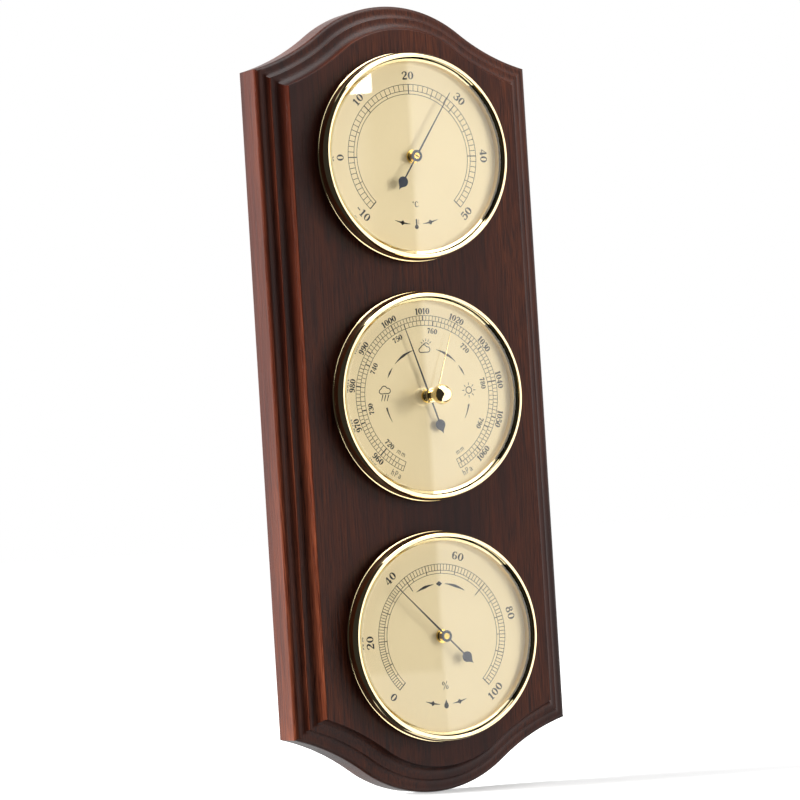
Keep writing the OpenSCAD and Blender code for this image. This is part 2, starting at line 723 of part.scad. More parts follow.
// One module per remaining node
module thermo_can() { color(steel) on_thermo() can([0, 0], 12); }
module baro_can() { color(steel) on_baro() can([pressure_screw_x, 0], 6); }
module hygro_can() { color(steel) on_hygro() can([screw_axis_x, -hair_l], 18); }
module thermo_seat() { color(rubber) on_thermo() seat(); }
module baro_seat() { color(rubber) on_baro() seat(); }
module hygro_seat() { color(rubber) on_hygro() seat(); }
module thermo_claws() { color(steel) on_thermo() claws(); }
module baro_claws() { color(steel) on_baro() claws(); }
module hygro_claws() { color(steel) on_hygro() claws(); }
module thermo_claw_screws() { color(steel) on_thermo() claw_screws(); }
module baro_claw_screws() { color(steel) on_baro() claw_screws(); }
module hygro_claw_screws() { color(steel) on_hygro() claw_screws(); }
module thermo_bezel() { color(brass) on_thermo() bezel(); }
module baro_bezel() { color(brass) on_baro() bezel(); }
module hygro_bezel() { color(brass) on_hygro() bezel(); }
module thermo_glass() { color([0.9, 0.95, 1, 0.3]) on_thermo() glass_disc(0); }
module baro_glass() { color([0.9, 0.95, 1, 0.3]) on_baro() glass_disc(set_shank_r+run_gap); }
module hygro_glass() { color([0.9, 0.95, 1, 0.3]) on_hygro() glass_disc(0); }
module thermo_sight_ring() { color(champagne) on_thermo() sight_ring(); }
module baro_sight_ring() { color(champagne) on_baro() sight_ring(); }
module hygro_sight_ring() { color(champagne) on_hygro() sight_ring(); }
module thermo_dial() { color(champagne) on_thermo() dial(); }
module baro_dial() { color(champagne) on_baro() dial(); }
module hygro_dial() { color(champagne) on_hygro() dial(); }
module thermo_bush() { color(brass) on_thermo() bush(pointer_d-pointer_t/2-0.2); }
module baro_bush() { color(brass) on_baro() bush(baro_pointer_d-pointer_t/2-0.2); }
module hygro_bush() { color(brass) on_hygro() bush(pointer_d-pointer_t/2-0.2); }
module thermo_arbor() { color(brass) on_thermo() clockwise(thermo_turn) {
    arbor(outer_arbor_back, pointer_d);
    rod(collet_r, coil_d-0.5, coil_d+coil_strip_w+0.5);
} }
module baro_arbor() { color(brass) on_baro() clockwise(baro_turn) {
    arbor(cock_d+0.2, baro_pointer_d);
    rod(drum_r, chain_d-1, chain_d+1);
} }
module hygro_arbor() { color(brass) on_hygro() clockwise(humidity_turn) arbor(outer_arbor_back, pointer_d); }
module thermo_pointer() { color(blued) on_thermo() clockwise(thermo_turn) pointer(pointer_d); }
module baro_pointer() { color(blued) on_baro() clockwise(baro_turn) pointer(baro_pointer_d); }
module hygro_pointer() { color(blued) on_hygro() clockwise(humidity_turn) pointer(pointer_d); }

board();
hanger_plate();
hanger_screws();
thermo_can();
baro_can();
hygro_can();
thermo_seat();
baro_seat();
hygro_seat();
thermo_claws();
baro_claws();
hygro_claws();
thermo_claw_screws();
baro_claw_screws();
hygro_claw_screws();
thermo_bezel();
baro_bezel();
hygro_bezel();
thermo_glass();
baro_glass();
hygro_glass();
thermo_sight_ring();
baro_sight_ring();
hygro_sight_ring();
thermo_dial();
baro_dial();
hygro_dial();
thermo_bush();
baro_bush();
hygro_bush();
thermo_arbor();
baro_arbor();
hygro_arbor();
thermo_pointer();
baro_pointer();
hygro_pointer();
thermo_bridge();
thermo_coil();
thermo_zero_arm();
hygro_bridge();
hygro_drum();
hygro_hair();
hygro_hairspring();
hygro_bracket();
hygro_screw();
baro_plate();
baro_capsule();
baro_stud();
baro_spring();
baro_rocker();
baro_chain();
baro_cock();
baro_hairspring();
baro_screw();
set_bush();
set_hand();
set_knob();
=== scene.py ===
"""Wall weather station: dresses the packed model with its varnished board, polished bezels,
printed dials and hands, and sets it in a plain studio. Lengths are millimetres, unless a comment
says metres."""
import json
from math import acos, asin, atan2, cos, degrees, hypot, pi, radians, sin, sqrt

import bmesh
import bpy
from mathutils import Matrix, Vector


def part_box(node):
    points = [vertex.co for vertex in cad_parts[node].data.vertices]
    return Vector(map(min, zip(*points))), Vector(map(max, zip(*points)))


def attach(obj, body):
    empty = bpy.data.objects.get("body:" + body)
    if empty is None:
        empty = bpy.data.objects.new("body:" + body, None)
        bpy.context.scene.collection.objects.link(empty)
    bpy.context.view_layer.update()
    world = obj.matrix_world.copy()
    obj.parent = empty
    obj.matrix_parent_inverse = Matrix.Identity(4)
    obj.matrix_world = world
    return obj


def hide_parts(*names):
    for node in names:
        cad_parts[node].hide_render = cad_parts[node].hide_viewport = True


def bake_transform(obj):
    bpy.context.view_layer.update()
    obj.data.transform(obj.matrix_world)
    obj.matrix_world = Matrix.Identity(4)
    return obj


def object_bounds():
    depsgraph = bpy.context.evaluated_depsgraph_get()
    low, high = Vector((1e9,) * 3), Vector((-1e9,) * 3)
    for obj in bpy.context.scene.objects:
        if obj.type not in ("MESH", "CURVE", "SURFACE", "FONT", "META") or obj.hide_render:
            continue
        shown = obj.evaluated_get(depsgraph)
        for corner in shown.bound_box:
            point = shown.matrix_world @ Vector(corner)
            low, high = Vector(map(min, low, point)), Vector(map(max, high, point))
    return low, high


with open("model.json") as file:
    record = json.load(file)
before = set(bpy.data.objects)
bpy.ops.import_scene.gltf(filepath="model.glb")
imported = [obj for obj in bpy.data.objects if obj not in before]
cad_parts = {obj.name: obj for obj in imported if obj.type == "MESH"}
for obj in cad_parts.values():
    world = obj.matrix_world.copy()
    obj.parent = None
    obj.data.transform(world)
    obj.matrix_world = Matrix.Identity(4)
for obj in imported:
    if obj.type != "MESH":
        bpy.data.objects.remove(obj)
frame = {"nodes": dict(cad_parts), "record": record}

CAD_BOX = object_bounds()

bl_info = {
    "name": "Wall weather station",
    "version": (1, 0, 0),
    "blender": (4, 5, 0),
    "location": "View3D > Sidebar > Weather",
    "description": "Builds the visible pieces of a wall weather station around its packed model",
    "category": "Object",
}

MM = 0.001
INSTRUMENTS = ("thermo", "baro", "hygro")


def box_mm(node):
    low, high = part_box(node)
    return low / MM, high / MM


def axis_of(instrument):
    low, high = box_mm(f"{instrument}_dial")
    return (low.z + high.z) / 2


AXES = {name: axis_of(name) for name in INSTRUMENTS}
BOARD_LOW, BOARD_HIGH = box_mm("board")
BOARD_W = BOARD_HIGH.x - BOARD_LOW.x
BOARD_H = BOARD_HIGH.z - BOARD_LOW.z
BOARD_T = -BOARD_LOW.y
DIAL_FACE = -box_mm("thermo_dial")[0].y
DIAL_BACK = -box_mm("thermo_dial")[1].y
GLASS_BACK = -box_mm("thermo_glass")[1].y
GLASS_FRONT = -box_mm("thermo_glass")[0].y
BEZEL_BACK = -box_mm("thermo_bezel")[1].y
BEZEL_FRONT = -box_mm("thermo_bezel")[0].y
CASE_BACK = -box_mm("thermo_can")[1].y
POINTER_D = {name: -(box_mm(f"{name}_pointer")[0].y + box_mm(f"{name}_pointer")[1].y) / 2
             for name in INSTRUMENTS}
SET_HAND_D = -(box_mm("set_hand")[0].y + box_mm("set_hand")[1].y) / 2
KNOB_FRONT = -box_mm("set_knob")[0].y

# Readings, degrees clockwise from upright
REST_TURN = {"thermo": 33.75, "baro": -18.9, "hygro": -45.0}
SET_TURN = 18.9
# The hygrometer's scale isn't even: turn at each ten percent
HUMIDITY_TURNS = (-134, -112, -91, -66.5, -42, -12, 16.5, 46.5, 77, 107, 136)

# Steps round a full turn
LATHE_STEPS, FINE_LATHE_STEPS, SMALL_LATHE_STEPS = 160, 220, 96
HOLE_STEPS = 32
# Two faces that meet at more degrees than this keep a sharp edge between them
CREASE = 32
# How far a cutter reaches past what it cuts
BORE_OVERCUT, POCKET_OVERCUT, SLOT_OVERCUT = 2, 1, 1.0


# Settings

def colour(name, description, default):
    return bpy.props.FloatVectorProperty(
        name=name, description=description, subtype="COLOR", size=3, min=0, max=1, default=default)


def length(name, description, default_mm):
    return bpy.props.FloatProperty(
        name=name, description=description, default=default_mm * MM, unit="LENGTH",
        subtype="DISTANCE")


class BoardSettings(bpy.types.PropertyGroup):
    """Sizes and colours of the varnished board"""
    arch_radius: length("Arch radius", "Radius of the arch in the top and bottom edge", 65)
    flank_radius: length("Flank radius", "Radius of the hollow flanks beside the arch", 106)
    edge_rounding: length("Edge rounding", "Radius of the outermost rounded edge", 2.6)
    cove_radius: length("Cove radius", "Radius of the inner cove", 6)
    dark_wood: colour("Dark wood", "Stain in the late wood", (0.0075, 0.0014, 0.0009))
    mid_wood: colour("Middle wood", "Stain of the plain wood", (0.025, 0.0052, 0.0027))
    light_wood: colour("Light streaks", "Stain in the light streaks", (0.115, 0.031, 0.013))


class DialSettings(bpy.types.PropertyGroup):
    """Colours and print sizes of the dials"""
    metal: colour("Dial metal", "Champagne anodised aluminium", (0.825, 0.665, 0.400))
    ink: colour("Ink", "Printing ink of the scales", (0.012, 0.010, 0.012))
    numeral_height: length("Numeral height", "Height of the outer dials' numerals", 3.9)
    fine_numeral_height: length("Fine numeral height", "Height of the barometer's outer numerals", 3.1)


class MetalSettings(bpy.types.PropertyGroup):
    """Colours of bezels, hands and fittings"""
    bezel_brass: colour("Bezel brass", "Polished lacquered brass", (0.96, 0.80, 0.47))
    boss_brass: colour("Boss brass", "Bright brass of the bushes", (0.90, 0.62, 0.17))
    hand_blue: colour("Hand blue", "Dark blue paint of the hands", (0.013, 0.016, 0.030))
    set_hand_gold: colour("Set hand gold", "Pale gold of the set hand", (0.93, 0.76, 0.42))


class StudioSettings(bpy.types.PropertyGroup):
    """Camera and lamps"""
    lens: bpy.props.FloatProperty(
        name="Lens", description="Focal length", default=180.94, unit="CAMERA")
    key_power: bpy.props.FloatProperty(
        name="Key lamp", description="Power of the softbox to the right", default=15.5, unit="POWER")
    side_power: bpy.props.FloatProperty(
        name="Side lamp", description="Power of the softbox behind to the left", default=195,
        unit="POWER")
    top_power: bpy.props.FloatProperty(
        name="Top lamp", description="Power of the softbox overhead", default=18, unit="POWER")
    floor_colour: colour("Floor", "Pale studio floor", (0.82, 0.82, 0.82))


# Materials

def shader_group(name, inputs, outputs):
    group = bpy.data.node_groups.new(name, "ShaderNodeTree")
    for label, kind, default in inputs:
        socket = group.interface.new_socket(label, in_out="INPUT", socket_type=kind)
        socket.default_value = default
    for label, kind in outputs:
        group.interface.new_socket(label, in_out="OUTPUT", socket_type=kind)
    return group, group.nodes.new("NodeGroupInput"), group.nodes.new("NodeGroupOutput")


def add(tree, kind, links=(), **settings):
    """A node with its settings; links map an input's name or number to a source socket or value"""
    node = tree.nodes.new(kind)
    for key, value in settings.items():
        setattr(node, key, value)
    for key, source in dict(links).items():
        socket = node.inputs[key]
        if isinstance(source, bpy.types.NodeSocket):
            tree.links.new(source, socket)
        else:
            socket.default_value = source
    return node


def ramp_between(tree, value, stops):
    node = tree.nodes.new("ShaderNodeValToRGB")
    elements = node.color_ramp.elements
    while len(elements) < len(stops):
        elements.new(0.5)
    for element, (place, tone) in zip(elements, stops):
        element.position = place
        element.color = (tone, tone, tone, 1)
    tree.links.new(value, node.inputs["Fac"])
    return node.outputs["Color"]


def make_wood_group():
    """Fine straight grain that runs along the board, with pores and slow stain clouds"""
    group, given, result = shader_group(
        "Stained wood",
        [("Dark", "NodeSocketColor", (0.03, 0.01, 0.01, 1)),
         ("Middle", "NodeSocketColor", (0.08, 0.02, 0.01, 1)),
         ("Light", "NodeSocketColor", (0.15, 0.05, 0.03, 1)),
         ("Grain Scale", "NodeSocketFloat", 900.0)],
        [("Color", "NodeSocketColor"), ("Roughness", "NodeSocketFloat"), ("Height", "NodeSocketFloat")])
    place = add(group, "ShaderNodeTexCoord").outputs["Object"]
    grain_scale = given.outputs["Grain Scale"]
    stretched = add(group, "ShaderNodeMapping", {"Vector": place, "Scale": (1, 1, 0.035)}).outputs[0]
    slow = add(group, "ShaderNodeMapping", {"Vector": place, "Scale": (1, 1, 0.16)}).outputs[0]
    wander = add(group, "ShaderNodeTexNoise", {"Vector": slow, "Scale": 38.0, "Detail": 3.0})
    bent = add(group, "ShaderNodeVectorMath", {0: wander.outputs["Color"], "Scale": 0.006},
               operation="SCALE")
    moved = add(group, "ShaderNodeVectorMath", {0: stretched, 1: bent.outputs[0]}, operation="ADD")
    streaks = add(group, "ShaderNodeTexNoise",
                  {"Vector": moved.outputs[0], "Scale": grain_scale, "Detail": 5.0, "Roughness": 0.62})
    bands = add(group, "ShaderNodeTexNoise",
                {"Vector": moved.outputs[0], "Scale": 260.0, "Detail": 3.0, "Roughness": 0.5})
    clouds = add(group, "ShaderNodeTexNoise", {"Vector": slow, "Scale": 22.0, "Detail": 2.0})
    pore_place = add(group, "ShaderNodeMapping", {"Vector": place, "Scale": (1, 1, 0.05)}).outputs[0]
    pores = add(group, "ShaderNodeTexVoronoi", {"Vector": pore_place, "Scale": 1500.0})
    pore_mask = ramp_between(group, pores.outputs["Distance"], [(0.0, 0.0), (0.24, 1.0)])
    streak_mask = ramp_between(group, streaks.outputs["Fac"], [(0.36, 0.0), (0.70, 1.0)])
    band_mask = ramp_between(group, bands.outputs["Fac"], [(0.25, 0.0), (0.75, 1.0)])
    cloud_mask = ramp_between(group, clouds.outputs["Fac"], [(0.35, 0.0), (0.65, 1.0)])
    base = add(group, "ShaderNodeMix",
               {0: band_mask, 6: given.outputs["Dark"], 7: given.outputs["Middle"]}, data_type="RGBA")
    light_share = add(group, "ShaderNodeMath", {0: streak_mask, 1: cloud_mask}, operation="MULTIPLY")
    softened = add(group, "ShaderNodeMath", {0: light_share.outputs[0], 1: 0.85}, operation="MULTIPLY")
    streaked = add(group, "ShaderNodeMix",
                   {0: softened.outputs[0], 6: base.outputs[2], 7: given.outputs["Light"]},
                   data_type="RGBA")
    pored = add(group, "ShaderNodeMix",
                {0: pore_mask, 6: given.outputs["Dark"], 7: streaked.outputs[2]}, data_type="RGBA")
    roughness = add(group, "ShaderNodeMapRange",
                    {"Value": streak_mask, "To Min": 0.30, "To Max": 0.42})
    height = add(group, "ShaderNodeMath", {0: streak_mask, 1: pore_mask}, operation="ADD")
    group.links.new(pored.outputs[2], result.inputs["Color"])
    group.links.new(roughness.outputs[0], result.inputs["Roughness"])
    group.links.new(height.outputs[0], result.inputs["Height"])
    return group


def make_finish_group():
    """Fine unevenness of a made surface: faint cloudiness of colour, gloss and level"""
    group, given, result = shader_group(
        "Surface finish",
        [("Color", "NodeSocketColor", (0.8, 0.8, 0.8, 1)),
         ("Roughness", "NodeSocketFloat", 0.3),
         ("Scale", "NodeSocketFloat", 300.0),
         ("Stretch", "NodeSocketVector", (1, 1, 1)),
         ("Tint Spread", "NodeSocketFloat", 0.1),
         ("Gloss Spread", "NodeSocketFloat", 0.1)],
        [("Color", "NodeSocketColor"), ("Roughness", "NodeSocketFloat"), ("Height", "NodeSocketFloat")])
    place = add(group, "ShaderNodeTexCoord").outputs["Object"]
    stretched = add(group, "ShaderNodeVectorMath", {0: place, 1: given.outputs["Stretch"]},
                    operation="MULTIPLY").outputs[0]
    fine = add(group, "ShaderNodeTexNoise",
               {"Vector": stretched, "Scale": given.outputs["Scale"], "Detail": 4.0})
    broad = add(group, "ShaderNodeTexNoise", {"Vector": place, "Scale": 45.0, "Detail": 2.0})
    centred = add(group, "ShaderNodeMath", {0: fine.outputs["Fac"], 1: -0.5}, operation="ADD")
    level = add(group, "ShaderNodeMath",
                {0: centred.outputs[0], 1: given.outputs["Tint Spread"], 2: 1.0},
                operation="MULTIPLY_ADD")
    tinted = add(group, "ShaderNodeVectorMath",
                 {0: given.outputs["Color"], "Scale": level.outputs[0]}, operation="SCALE")
    both = add(group, "ShaderNodeMath", {0: fine.outputs["Fac"], 1: broad.outputs["Fac"]},
               operation="ADD")
    swing = add(group, "ShaderNodeMath", {0: both.outputs[0], 1: -1.0}, operation="ADD")
    gloss = add(group, "ShaderNodeMath",
                {0: swing.outputs[0], 1: given.outputs["Gloss Spread"], 2: given.outputs["Roughness"]},
                operation="MULTIPLY_ADD", use_clamp=True)
    group.links.new(tinted.outputs[0], result.inputs["Color"])
    group.links.new(gloss.outputs[0], result.inputs["Roughness"])
    group.links.new(fine.outputs["Fac"], result.inputs["Height"])
    return group


def finished(name, finish, tone, roughness, metallic=0.0, scale=300.0, stretch=(1, 1, 1),
             tint_spread=0.1, gloss_spread=0.1, bump=0.1, bump_depth=0.02, coat=0.0):
    """A material whose colour, gloss and level come from the shared finish group"""
    material = bpy.data.materials.new(name)
    material.use_nodes = True
    tree = material.node_tree
    shader = tree.nodes["Principled BSDF"]
    surface = add(tree, "ShaderNodeGroup", node_tree=finish)
    for key, value in {"Color": (*tone, 1), "Roughness": roughness, "Scale": scale,
                       "Stretch": stretch, "Tint Spread": tint_spread,
                       "Gloss Spread": gloss_spread}.items():
        surface.inputs[key].default_value = value
    level = add(tree, "ShaderNodeBump", {"Height": surface.outputs["Height"], "Strength": bump,
                                         "Distance": bump_depth * MM})
    tree.links.new(surface.outputs["Color"], shader.inputs["Base Color"])
    tree.links.new(surface.outputs["Roughness"], shader.inputs["Roughness"])
    tree.links.new(level.outputs["Normal"], shader.inputs["Normal"])
    shader.inputs["Metallic"].default_value = metallic
    shader.inputs["Coat Weight"].default_value = coat
    shader.inputs["Coat Roughness"].default_value = 0.1
    material.diffuse_color = (*tone, 1)
    return material


def make_wood(group, settings):
    material = bpy.data.materials.new("Stained mahogany")
    material.use_nodes = True
    tree = material.node_tree
    shader = tree.nodes["Principled BSDF"]
    wood = add(tree, "ShaderNodeGroup", node_tree=group)
    for label, tone in (("Dark", settings.dark_wood), ("Middle", settings.mid_wood),
                        ("Light", settings.light_wood)):
        wood.inputs[label].default_value = (*tone, 1)
    wood.inputs["Grain Scale"].default_value = 1500
    level = add(tree, "ShaderNodeBump", {"Height": wood.outputs["Height"], "Strength": 0.5,
                                         "Distance": 0.09 * MM})
    tree.links.new(wood.outputs["Color"], shader.inputs["Base Color"])
    tree.links.new(wood.outputs["Roughness"], shader.inputs["Roughness"])
    tree.links.new(level.outputs["Normal"], shader.inputs["Normal"])
    shader.inputs["Specular IOR Level"].default_value = 0.14
    shader.inputs["Coat Weight"].default_value = 0.03
    shader.inputs["Coat Roughness"].default_value = 0.25
    return material


# From this radius on, the glass shows no reflection, a painted shade for the bezel's slope
PAINTED_SHADE_R = 46.6


def make_glass():
    """Window glass that lets lamp light through to the dial"""
    material = bpy.data.materials.new("Window glass")
    material.use_nodes = True
    tree = material.node_tree
    shader = tree.nodes["Principled BSDF"]
    shader.inputs["Base Color"].default_value = (0.985, 0.995, 0.99, 1)
    shader.inputs["Roughness"].default_value = 0.0
    shader.inputs["IOR"].default_value = 1.5
    shader.inputs["Specular IOR Level"].default_value = 0.4
    shader.inputs["Transmission Weight"].default_value = 1.0
    place = add(tree, "ShaderNodeTexCoord").outputs["Object"]
    ripple = add(tree, "ShaderNodeTexNoise", {"Vector": place, "Scale": 9.0, "Detail": 0.0})
    level = add(tree, "ShaderNodeBump", {"Height": ripple.outputs["Fac"], "Strength": 0.1,
                                         "Distance": 0.2 * MM})
    tree.links.new(level.outputs["Normal"], shader.inputs["Normal"])
    clear = add(tree, "ShaderNodeBsdfTransparent", {"Color": (0.93, 0.94, 0.93, 1)})
    # Nothing shines on the rim, a painted shade for the bezel's slope; every glass takes its distance from
    # the nearest axis
    ways = add(tree, "ShaderNodeSeparateXYZ", {0: place})
    spacing = (AXES["thermo"] - AXES["baro"]) * MM
    up = add(tree, "ShaderNodeMath", {0: ways.outputs["Z"], 1: -AXES["baro"] * MM})
    nearest = add(tree, "ShaderNodeMath", {0: up.outputs[0], 1: spacing / 2, 2: -spacing / 2},
                  operation="WRAP")
    across = add(tree, "ShaderNodeCombineXYZ", {"X": ways.outputs["X"], "Z": nearest.outputs[0]})
    radius = add(tree, "ShaderNodeVectorMath", {0: across.outputs[0]}, operation="LENGTH")
    rim = add(tree, "ShaderNodeMath", {0: radius.outputs["Value"], 1: PAINTED_SHADE_R * MM},
              operation="GREATER_THAN")
    path = add(tree, "ShaderNodeLightPath")
    dark = add(tree, "ShaderNodeMath",
               {0: path.outputs["Is Shadow Ray"], 1: path.outputs["Is Diffuse Ray"]},
               operation="MAXIMUM")
    unseen = add(tree, "ShaderNodeMath", {0: dark.outputs[0], 1: rim.outputs[0]}, operation="MAXIMUM")
    mix = add(tree, "ShaderNodeMixShader",
              {0: unseen.outputs[0], 1: shader.outputs["BSDF"], 2: clear.outputs["BSDF"]})
    tree.links.new(mix.outputs[0], tree.nodes["Material Output"].inputs["Surface"])
    return material


def make_materials(scene):
    """Every finish of the part, by the name that the pieces use"""
    wood_group = bpy.data.node_groups.get("Stained wood") or make_wood_group()
    finish = bpy.data.node_groups.get("Surface finish") or make_finish_group()
    dial, metal = scene.weather_dials, scene.weather_metals
    return {
        "mahogany": make_wood(wood_group, scene.weather_board),
        "bezel_brass": finished("Polished brass", finish, metal.bezel_brass, 0.055, metallic=1,
                                scale=140, tint_spread=0.03, gloss_spread=0.03, bump=0.03),
        "plain_brass": finished("Turned brass", finish, metal.boss_brass, 0.16, metallic=1,
                                scale=900, tint_spread=0.08, gloss_spread=0.12, bump=0.1),
        "dial_gold": finished("Champagne dial metal", finish, dial.metal, 0.42, metallic=0.35,
                              scale=2600, stretch=(1, 1, 0.12), tint_spread=0.10,
                              gloss_spread=0.06, bump=0.18, bump_depth=0.01),
        "sight_gold": finished("Gilt sight ring", finish, (0.93, 0.76, 0.44), 0.045, metallic=1,
                               scale=200, tint_spread=0.03, gloss_spread=0.03, bump=0.03),
        "ink": finished("Dial ink", finish, dial.ink, 0.5, scale=2500, tint_spread=0.5,
                        gloss_spread=0.2, bump=0.1, bump_depth=0.005),
        "window_glass": make_glass(),
        "black_rubber": finished("Black rubber", finish, (0.012, 0.012, 0.012), 0.62, scale=700,
                                 tint_spread=0.3, bump=0.3),
        "pointer_blue": finished("Slate blue paint", finish, metal.hand_blue, 0.34, scale=900,
                                 metallic=0.25, tint_spread=0.15, bump=0.08, coat=0.3),
        "set_hand_gold": finished("Pale gold hand", finish, metal.set_hand_gold, 0.2, metallic=1,
                                  scale=600, tint_spread=0.05, bump=0.05),
        "case_steel": finished("Zinc plated steel", finish, (0.60, 0.60, 0.58), 0.32, metallic=1,
                               scale=160, tint_spread=0.25, gloss_spread=0.25, bump=0.12),
        "bright_steel": finished("Bright steel", finish, (0.66, 0.66, 0.67), 0.22, metallic=1,
                                 scale=900, tint_spread=0.1, bump=0.1),
        "spring_steel": finished("Blued steel", finish, (0.08, 0.10, 0.20), 0.25, metallic=0.9,
                                 scale=700, tint_spread=0.3, bump=0.05),
        "bimetal": finished("Rolled bimetal", finish, (0.50, 0.44, 0.35), 0.35, metallic=0.9,
                            scale=900, stretch=(1, 0.2, 1), tint_spread=0.2, bump=0.1),
        "hair": finished("Hair bundle", finish, (0.13, 0.08, 0.045), 0.5, scale=2500,
                         stretch=(1, 1, 0.05), tint_spread=0.9, bump=0.6, bump_depth=0.1),
    }


def material(name):
    """The finish by that name, made with all the others on first use"""
    store = bpy.context.scene.get("weather_finishes")
    if store is None:
        made = make_materials(bpy.context.scene)
        bpy.context.scene["weather_finishes"] = {key: value.name for key, value in made.items()}
        store = bpy.context.scene["weather_finishes"]
    return bpy.data.materials[store[name]]


# Making pieces

# Corners nearer than this are one, in metres; a plate's come from a filled curve
WELD, PLATE_WELD = 1e-7, 1e-6


def spot(axis, x, y, depth):
    """Part coordinates of a point on an instrument: x right, y up, depth in front of the wall"""
    return Vector((x, -depth, axis + y)) * MM


def sharpen(mesh, angle=CREASE):
    """Smooth shading, with creases where two faces meet at more than that angle"""
    form = bmesh.new()
    form.from_mesh(mesh)
    for face in form.faces:
        face.smooth = True
    for edge in form.edges:
        edge.smooth = len(edge.link_faces) == 2 and edge.calc_face_angle(0) < radians(angle)
    form.to_mesh(mesh)
    form.free()


def clean(mesh, weld=0.0, outward=True):
    """Welds corners nearer than that, in metres, and points the faces outwards"""
    form = bmesh.new()
    form.from_mesh(mesh)
    if weld:
        bmesh.ops.remove_doubles(form, verts=form.verts, dist=weld)
    if outward:
        bmesh.ops.recalc_face_normals(form, faces=form.faces)
    form.to_mesh(mesh)
    form.free()


def mesh_from(name, points, faces, crease=CREASE):
    mesh = bpy.data.meshes.new(name)
    mesh.from_pydata([tuple(p) for p in points], [], faces)
    clean(mesh, WELD)
    sharpen(mesh, crease)
    return mesh


def settle(name, mesh, finish, body="frame", nodes=(), slot=None, even=True):
    """Puts a finished mesh in the scene as a piece of the part; one that bends takes no body here"""
    mesh.materials.clear()
    mesh.materials.append(material(finish))
    piece = bpy.data.objects.new(name, mesh)
    bpy.context.scene.collection.objects.link(piece)
    if even:
        weights = piece.modifiers.new("Even normals", "WEIGHTED_NORMAL")
        weights.keep_sharp = True
    if body:
        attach(piece, body)
    if nodes:
        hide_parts(*nodes)
    slot or finish
    return piece


def plain_copy(thing):
    """The evaluated shape of an object as a mesh; the object itself is removed"""
    thing_in_graph = thing.evaluated_get(bpy.context.evaluated_depsgraph_get())
    mesh = bpy.data.meshes.new_from_object(thing_in_graph)
    bpy.data.objects.remove(thing)
    return mesh


def loose_object(name, data):
    thing = bpy.data.objects.new(name, data)
    bpy.context.scene.collection.objects.link(thing)
    return thing


def cut(mesh, cutter):
    """mesh minus the closed mesh cutter"""
    body = loose_object("body", mesh)
    tool = loose_object("tool", cutter)
    carve = body.modifiers.new("Carve", "BOOLEAN")
    carve.operation = "DIFFERENCE"
    carve.solver = "EXACT"
    carve.object = tool
    result = plain_copy(body)
    bpy.data.objects.remove(tool)
    return result


def lathe(name, axis, profile, steps=LATHE_STEPS, closed=True, crease=CREASE):
    """Turns a section of (radius, depth) points about an instrument's axis"""
    points, rings = [], []
    for radius, depth in profile:
        if radius < 1e-6:
            rings.append([len(points)] * steps)
            points.append(spot(axis, 0, 0, depth))
            continue
        rings.append(list(range(len(points), len(points) + steps)))
        points += [spot(axis, x, y, depth) for x, y in circle(0, 0, radius, steps)]
    faces = []
    pairs = list(zip(rings, rings[1:])) + ([(rings[-1], rings[0])] if closed else [])
    for low, high in pairs:
        for i in range(steps):
            k = (i + 1) % steps
            corners = list(dict.fromkeys((low[i], low[k], high[k], high[i])))
            if len(corners) > 2:
                faces.append(corners)
    return mesh_from(name, points, faces, crease)


def circle(x, y, radius, steps=HOLE_STEPS):
    return [(x + radius * cos(2 * pi * i / steps), y + radius * sin(2 * pi * i / steps))
            for i in range(steps)]


def arc(x, y, radius, start, end, steps):
    return [(x + radius * cos(radians(start + (end - start) * i / steps)),
             y + radius * sin(radians(start + (end - start) * i / steps))) for i in range(steps + 1)]


def plate(name, axis, outlines, back, front, bevel=0.08, crease=40):
    """A flat sheet with softened edges; the first outline is the rim and the others are holes"""
    curve = bpy.data.curves.new(name, "CURVE")
    curve.dimensions = "2D"
    curve.fill_mode = "BOTH"
    curve.extrude = (front - back) / 2 - bevel
    curve.bevel_depth = bevel
    curve.bevel_resolution = 1
    curve.offset = -bevel
    for outline in outlines:
        spline = curve.splines.new("POLY")
        spline.points.add(len(outline) - 1)
        for point, (x, y) in zip(spline.points, outline):
            point.co = (x, y, 0, 1)
        spline.use_cyclic_u = True
    mesh = plain_copy(loose_object(name, curve))
    bpy.data.curves.remove(curve)
    stand = Matrix.Scale(MM, 4) @ Matrix.Translation((0, -(back + front) / 2, axis)) @ \
        Matrix.Rotation(pi / 2, 4, "X")
    mesh.transform(stand)
    clean(mesh, PLATE_WELD)
    sharpen(mesh, crease)
    return mesh


def block(low, high):
    """A closed box between two corners in part millimetres"""
    points = [Vector((x, y, z)) * MM for x in (low[0], high[0]) for y in (low[1], high[1])
              for z in (low[2], high[2])]
    faces = [(0, 1, 3, 2), (4, 6, 7, 5), (0, 4, 5, 1), (2, 3, 7, 6), (0, 2, 6, 4), (1, 5, 7, 3)]
    return mesh_from("block", points, faces)


def merged(name, meshes):
    """Several meshes as one"""
    form = bmesh.new()
    for mesh in meshes:
        form.from_mesh(mesh)
    result = bpy.data.meshes.new(name)
    form.to_mesh(result)
    form.free()
    return result


def geometry_tree(name, inputs):
    tree = bpy.data.node_groups.new(name, "GeometryNodeTree")
    tree.interface.new_socket("Geometry", in_out="INPUT", socket_type="NodeSocketGeometry")
    for label, kind in inputs:
        tree.interface.new_socket(label, in_out="INPUT", socket_type=kind)
    tree.interface.new_socket("Geometry", in_out="OUTPUT", socket_type="NodeSocketGeometry")
    return tree, tree.nodes.new("NodeGroupInput"), tree.nodes.new("NodeGroupOutput")


def finish_tree(tree, given, result, instances):
    real = add(tree, "GeometryNodeRealizeInstances", {0: instances})
    coated = add(tree, "GeometryNodeSetMaterial",
                 {"Geometry": real.outputs[0], "Material": given.outputs["Finish"]})
    tree.links.new(coated.outputs[0], result.inputs["Geometry"])


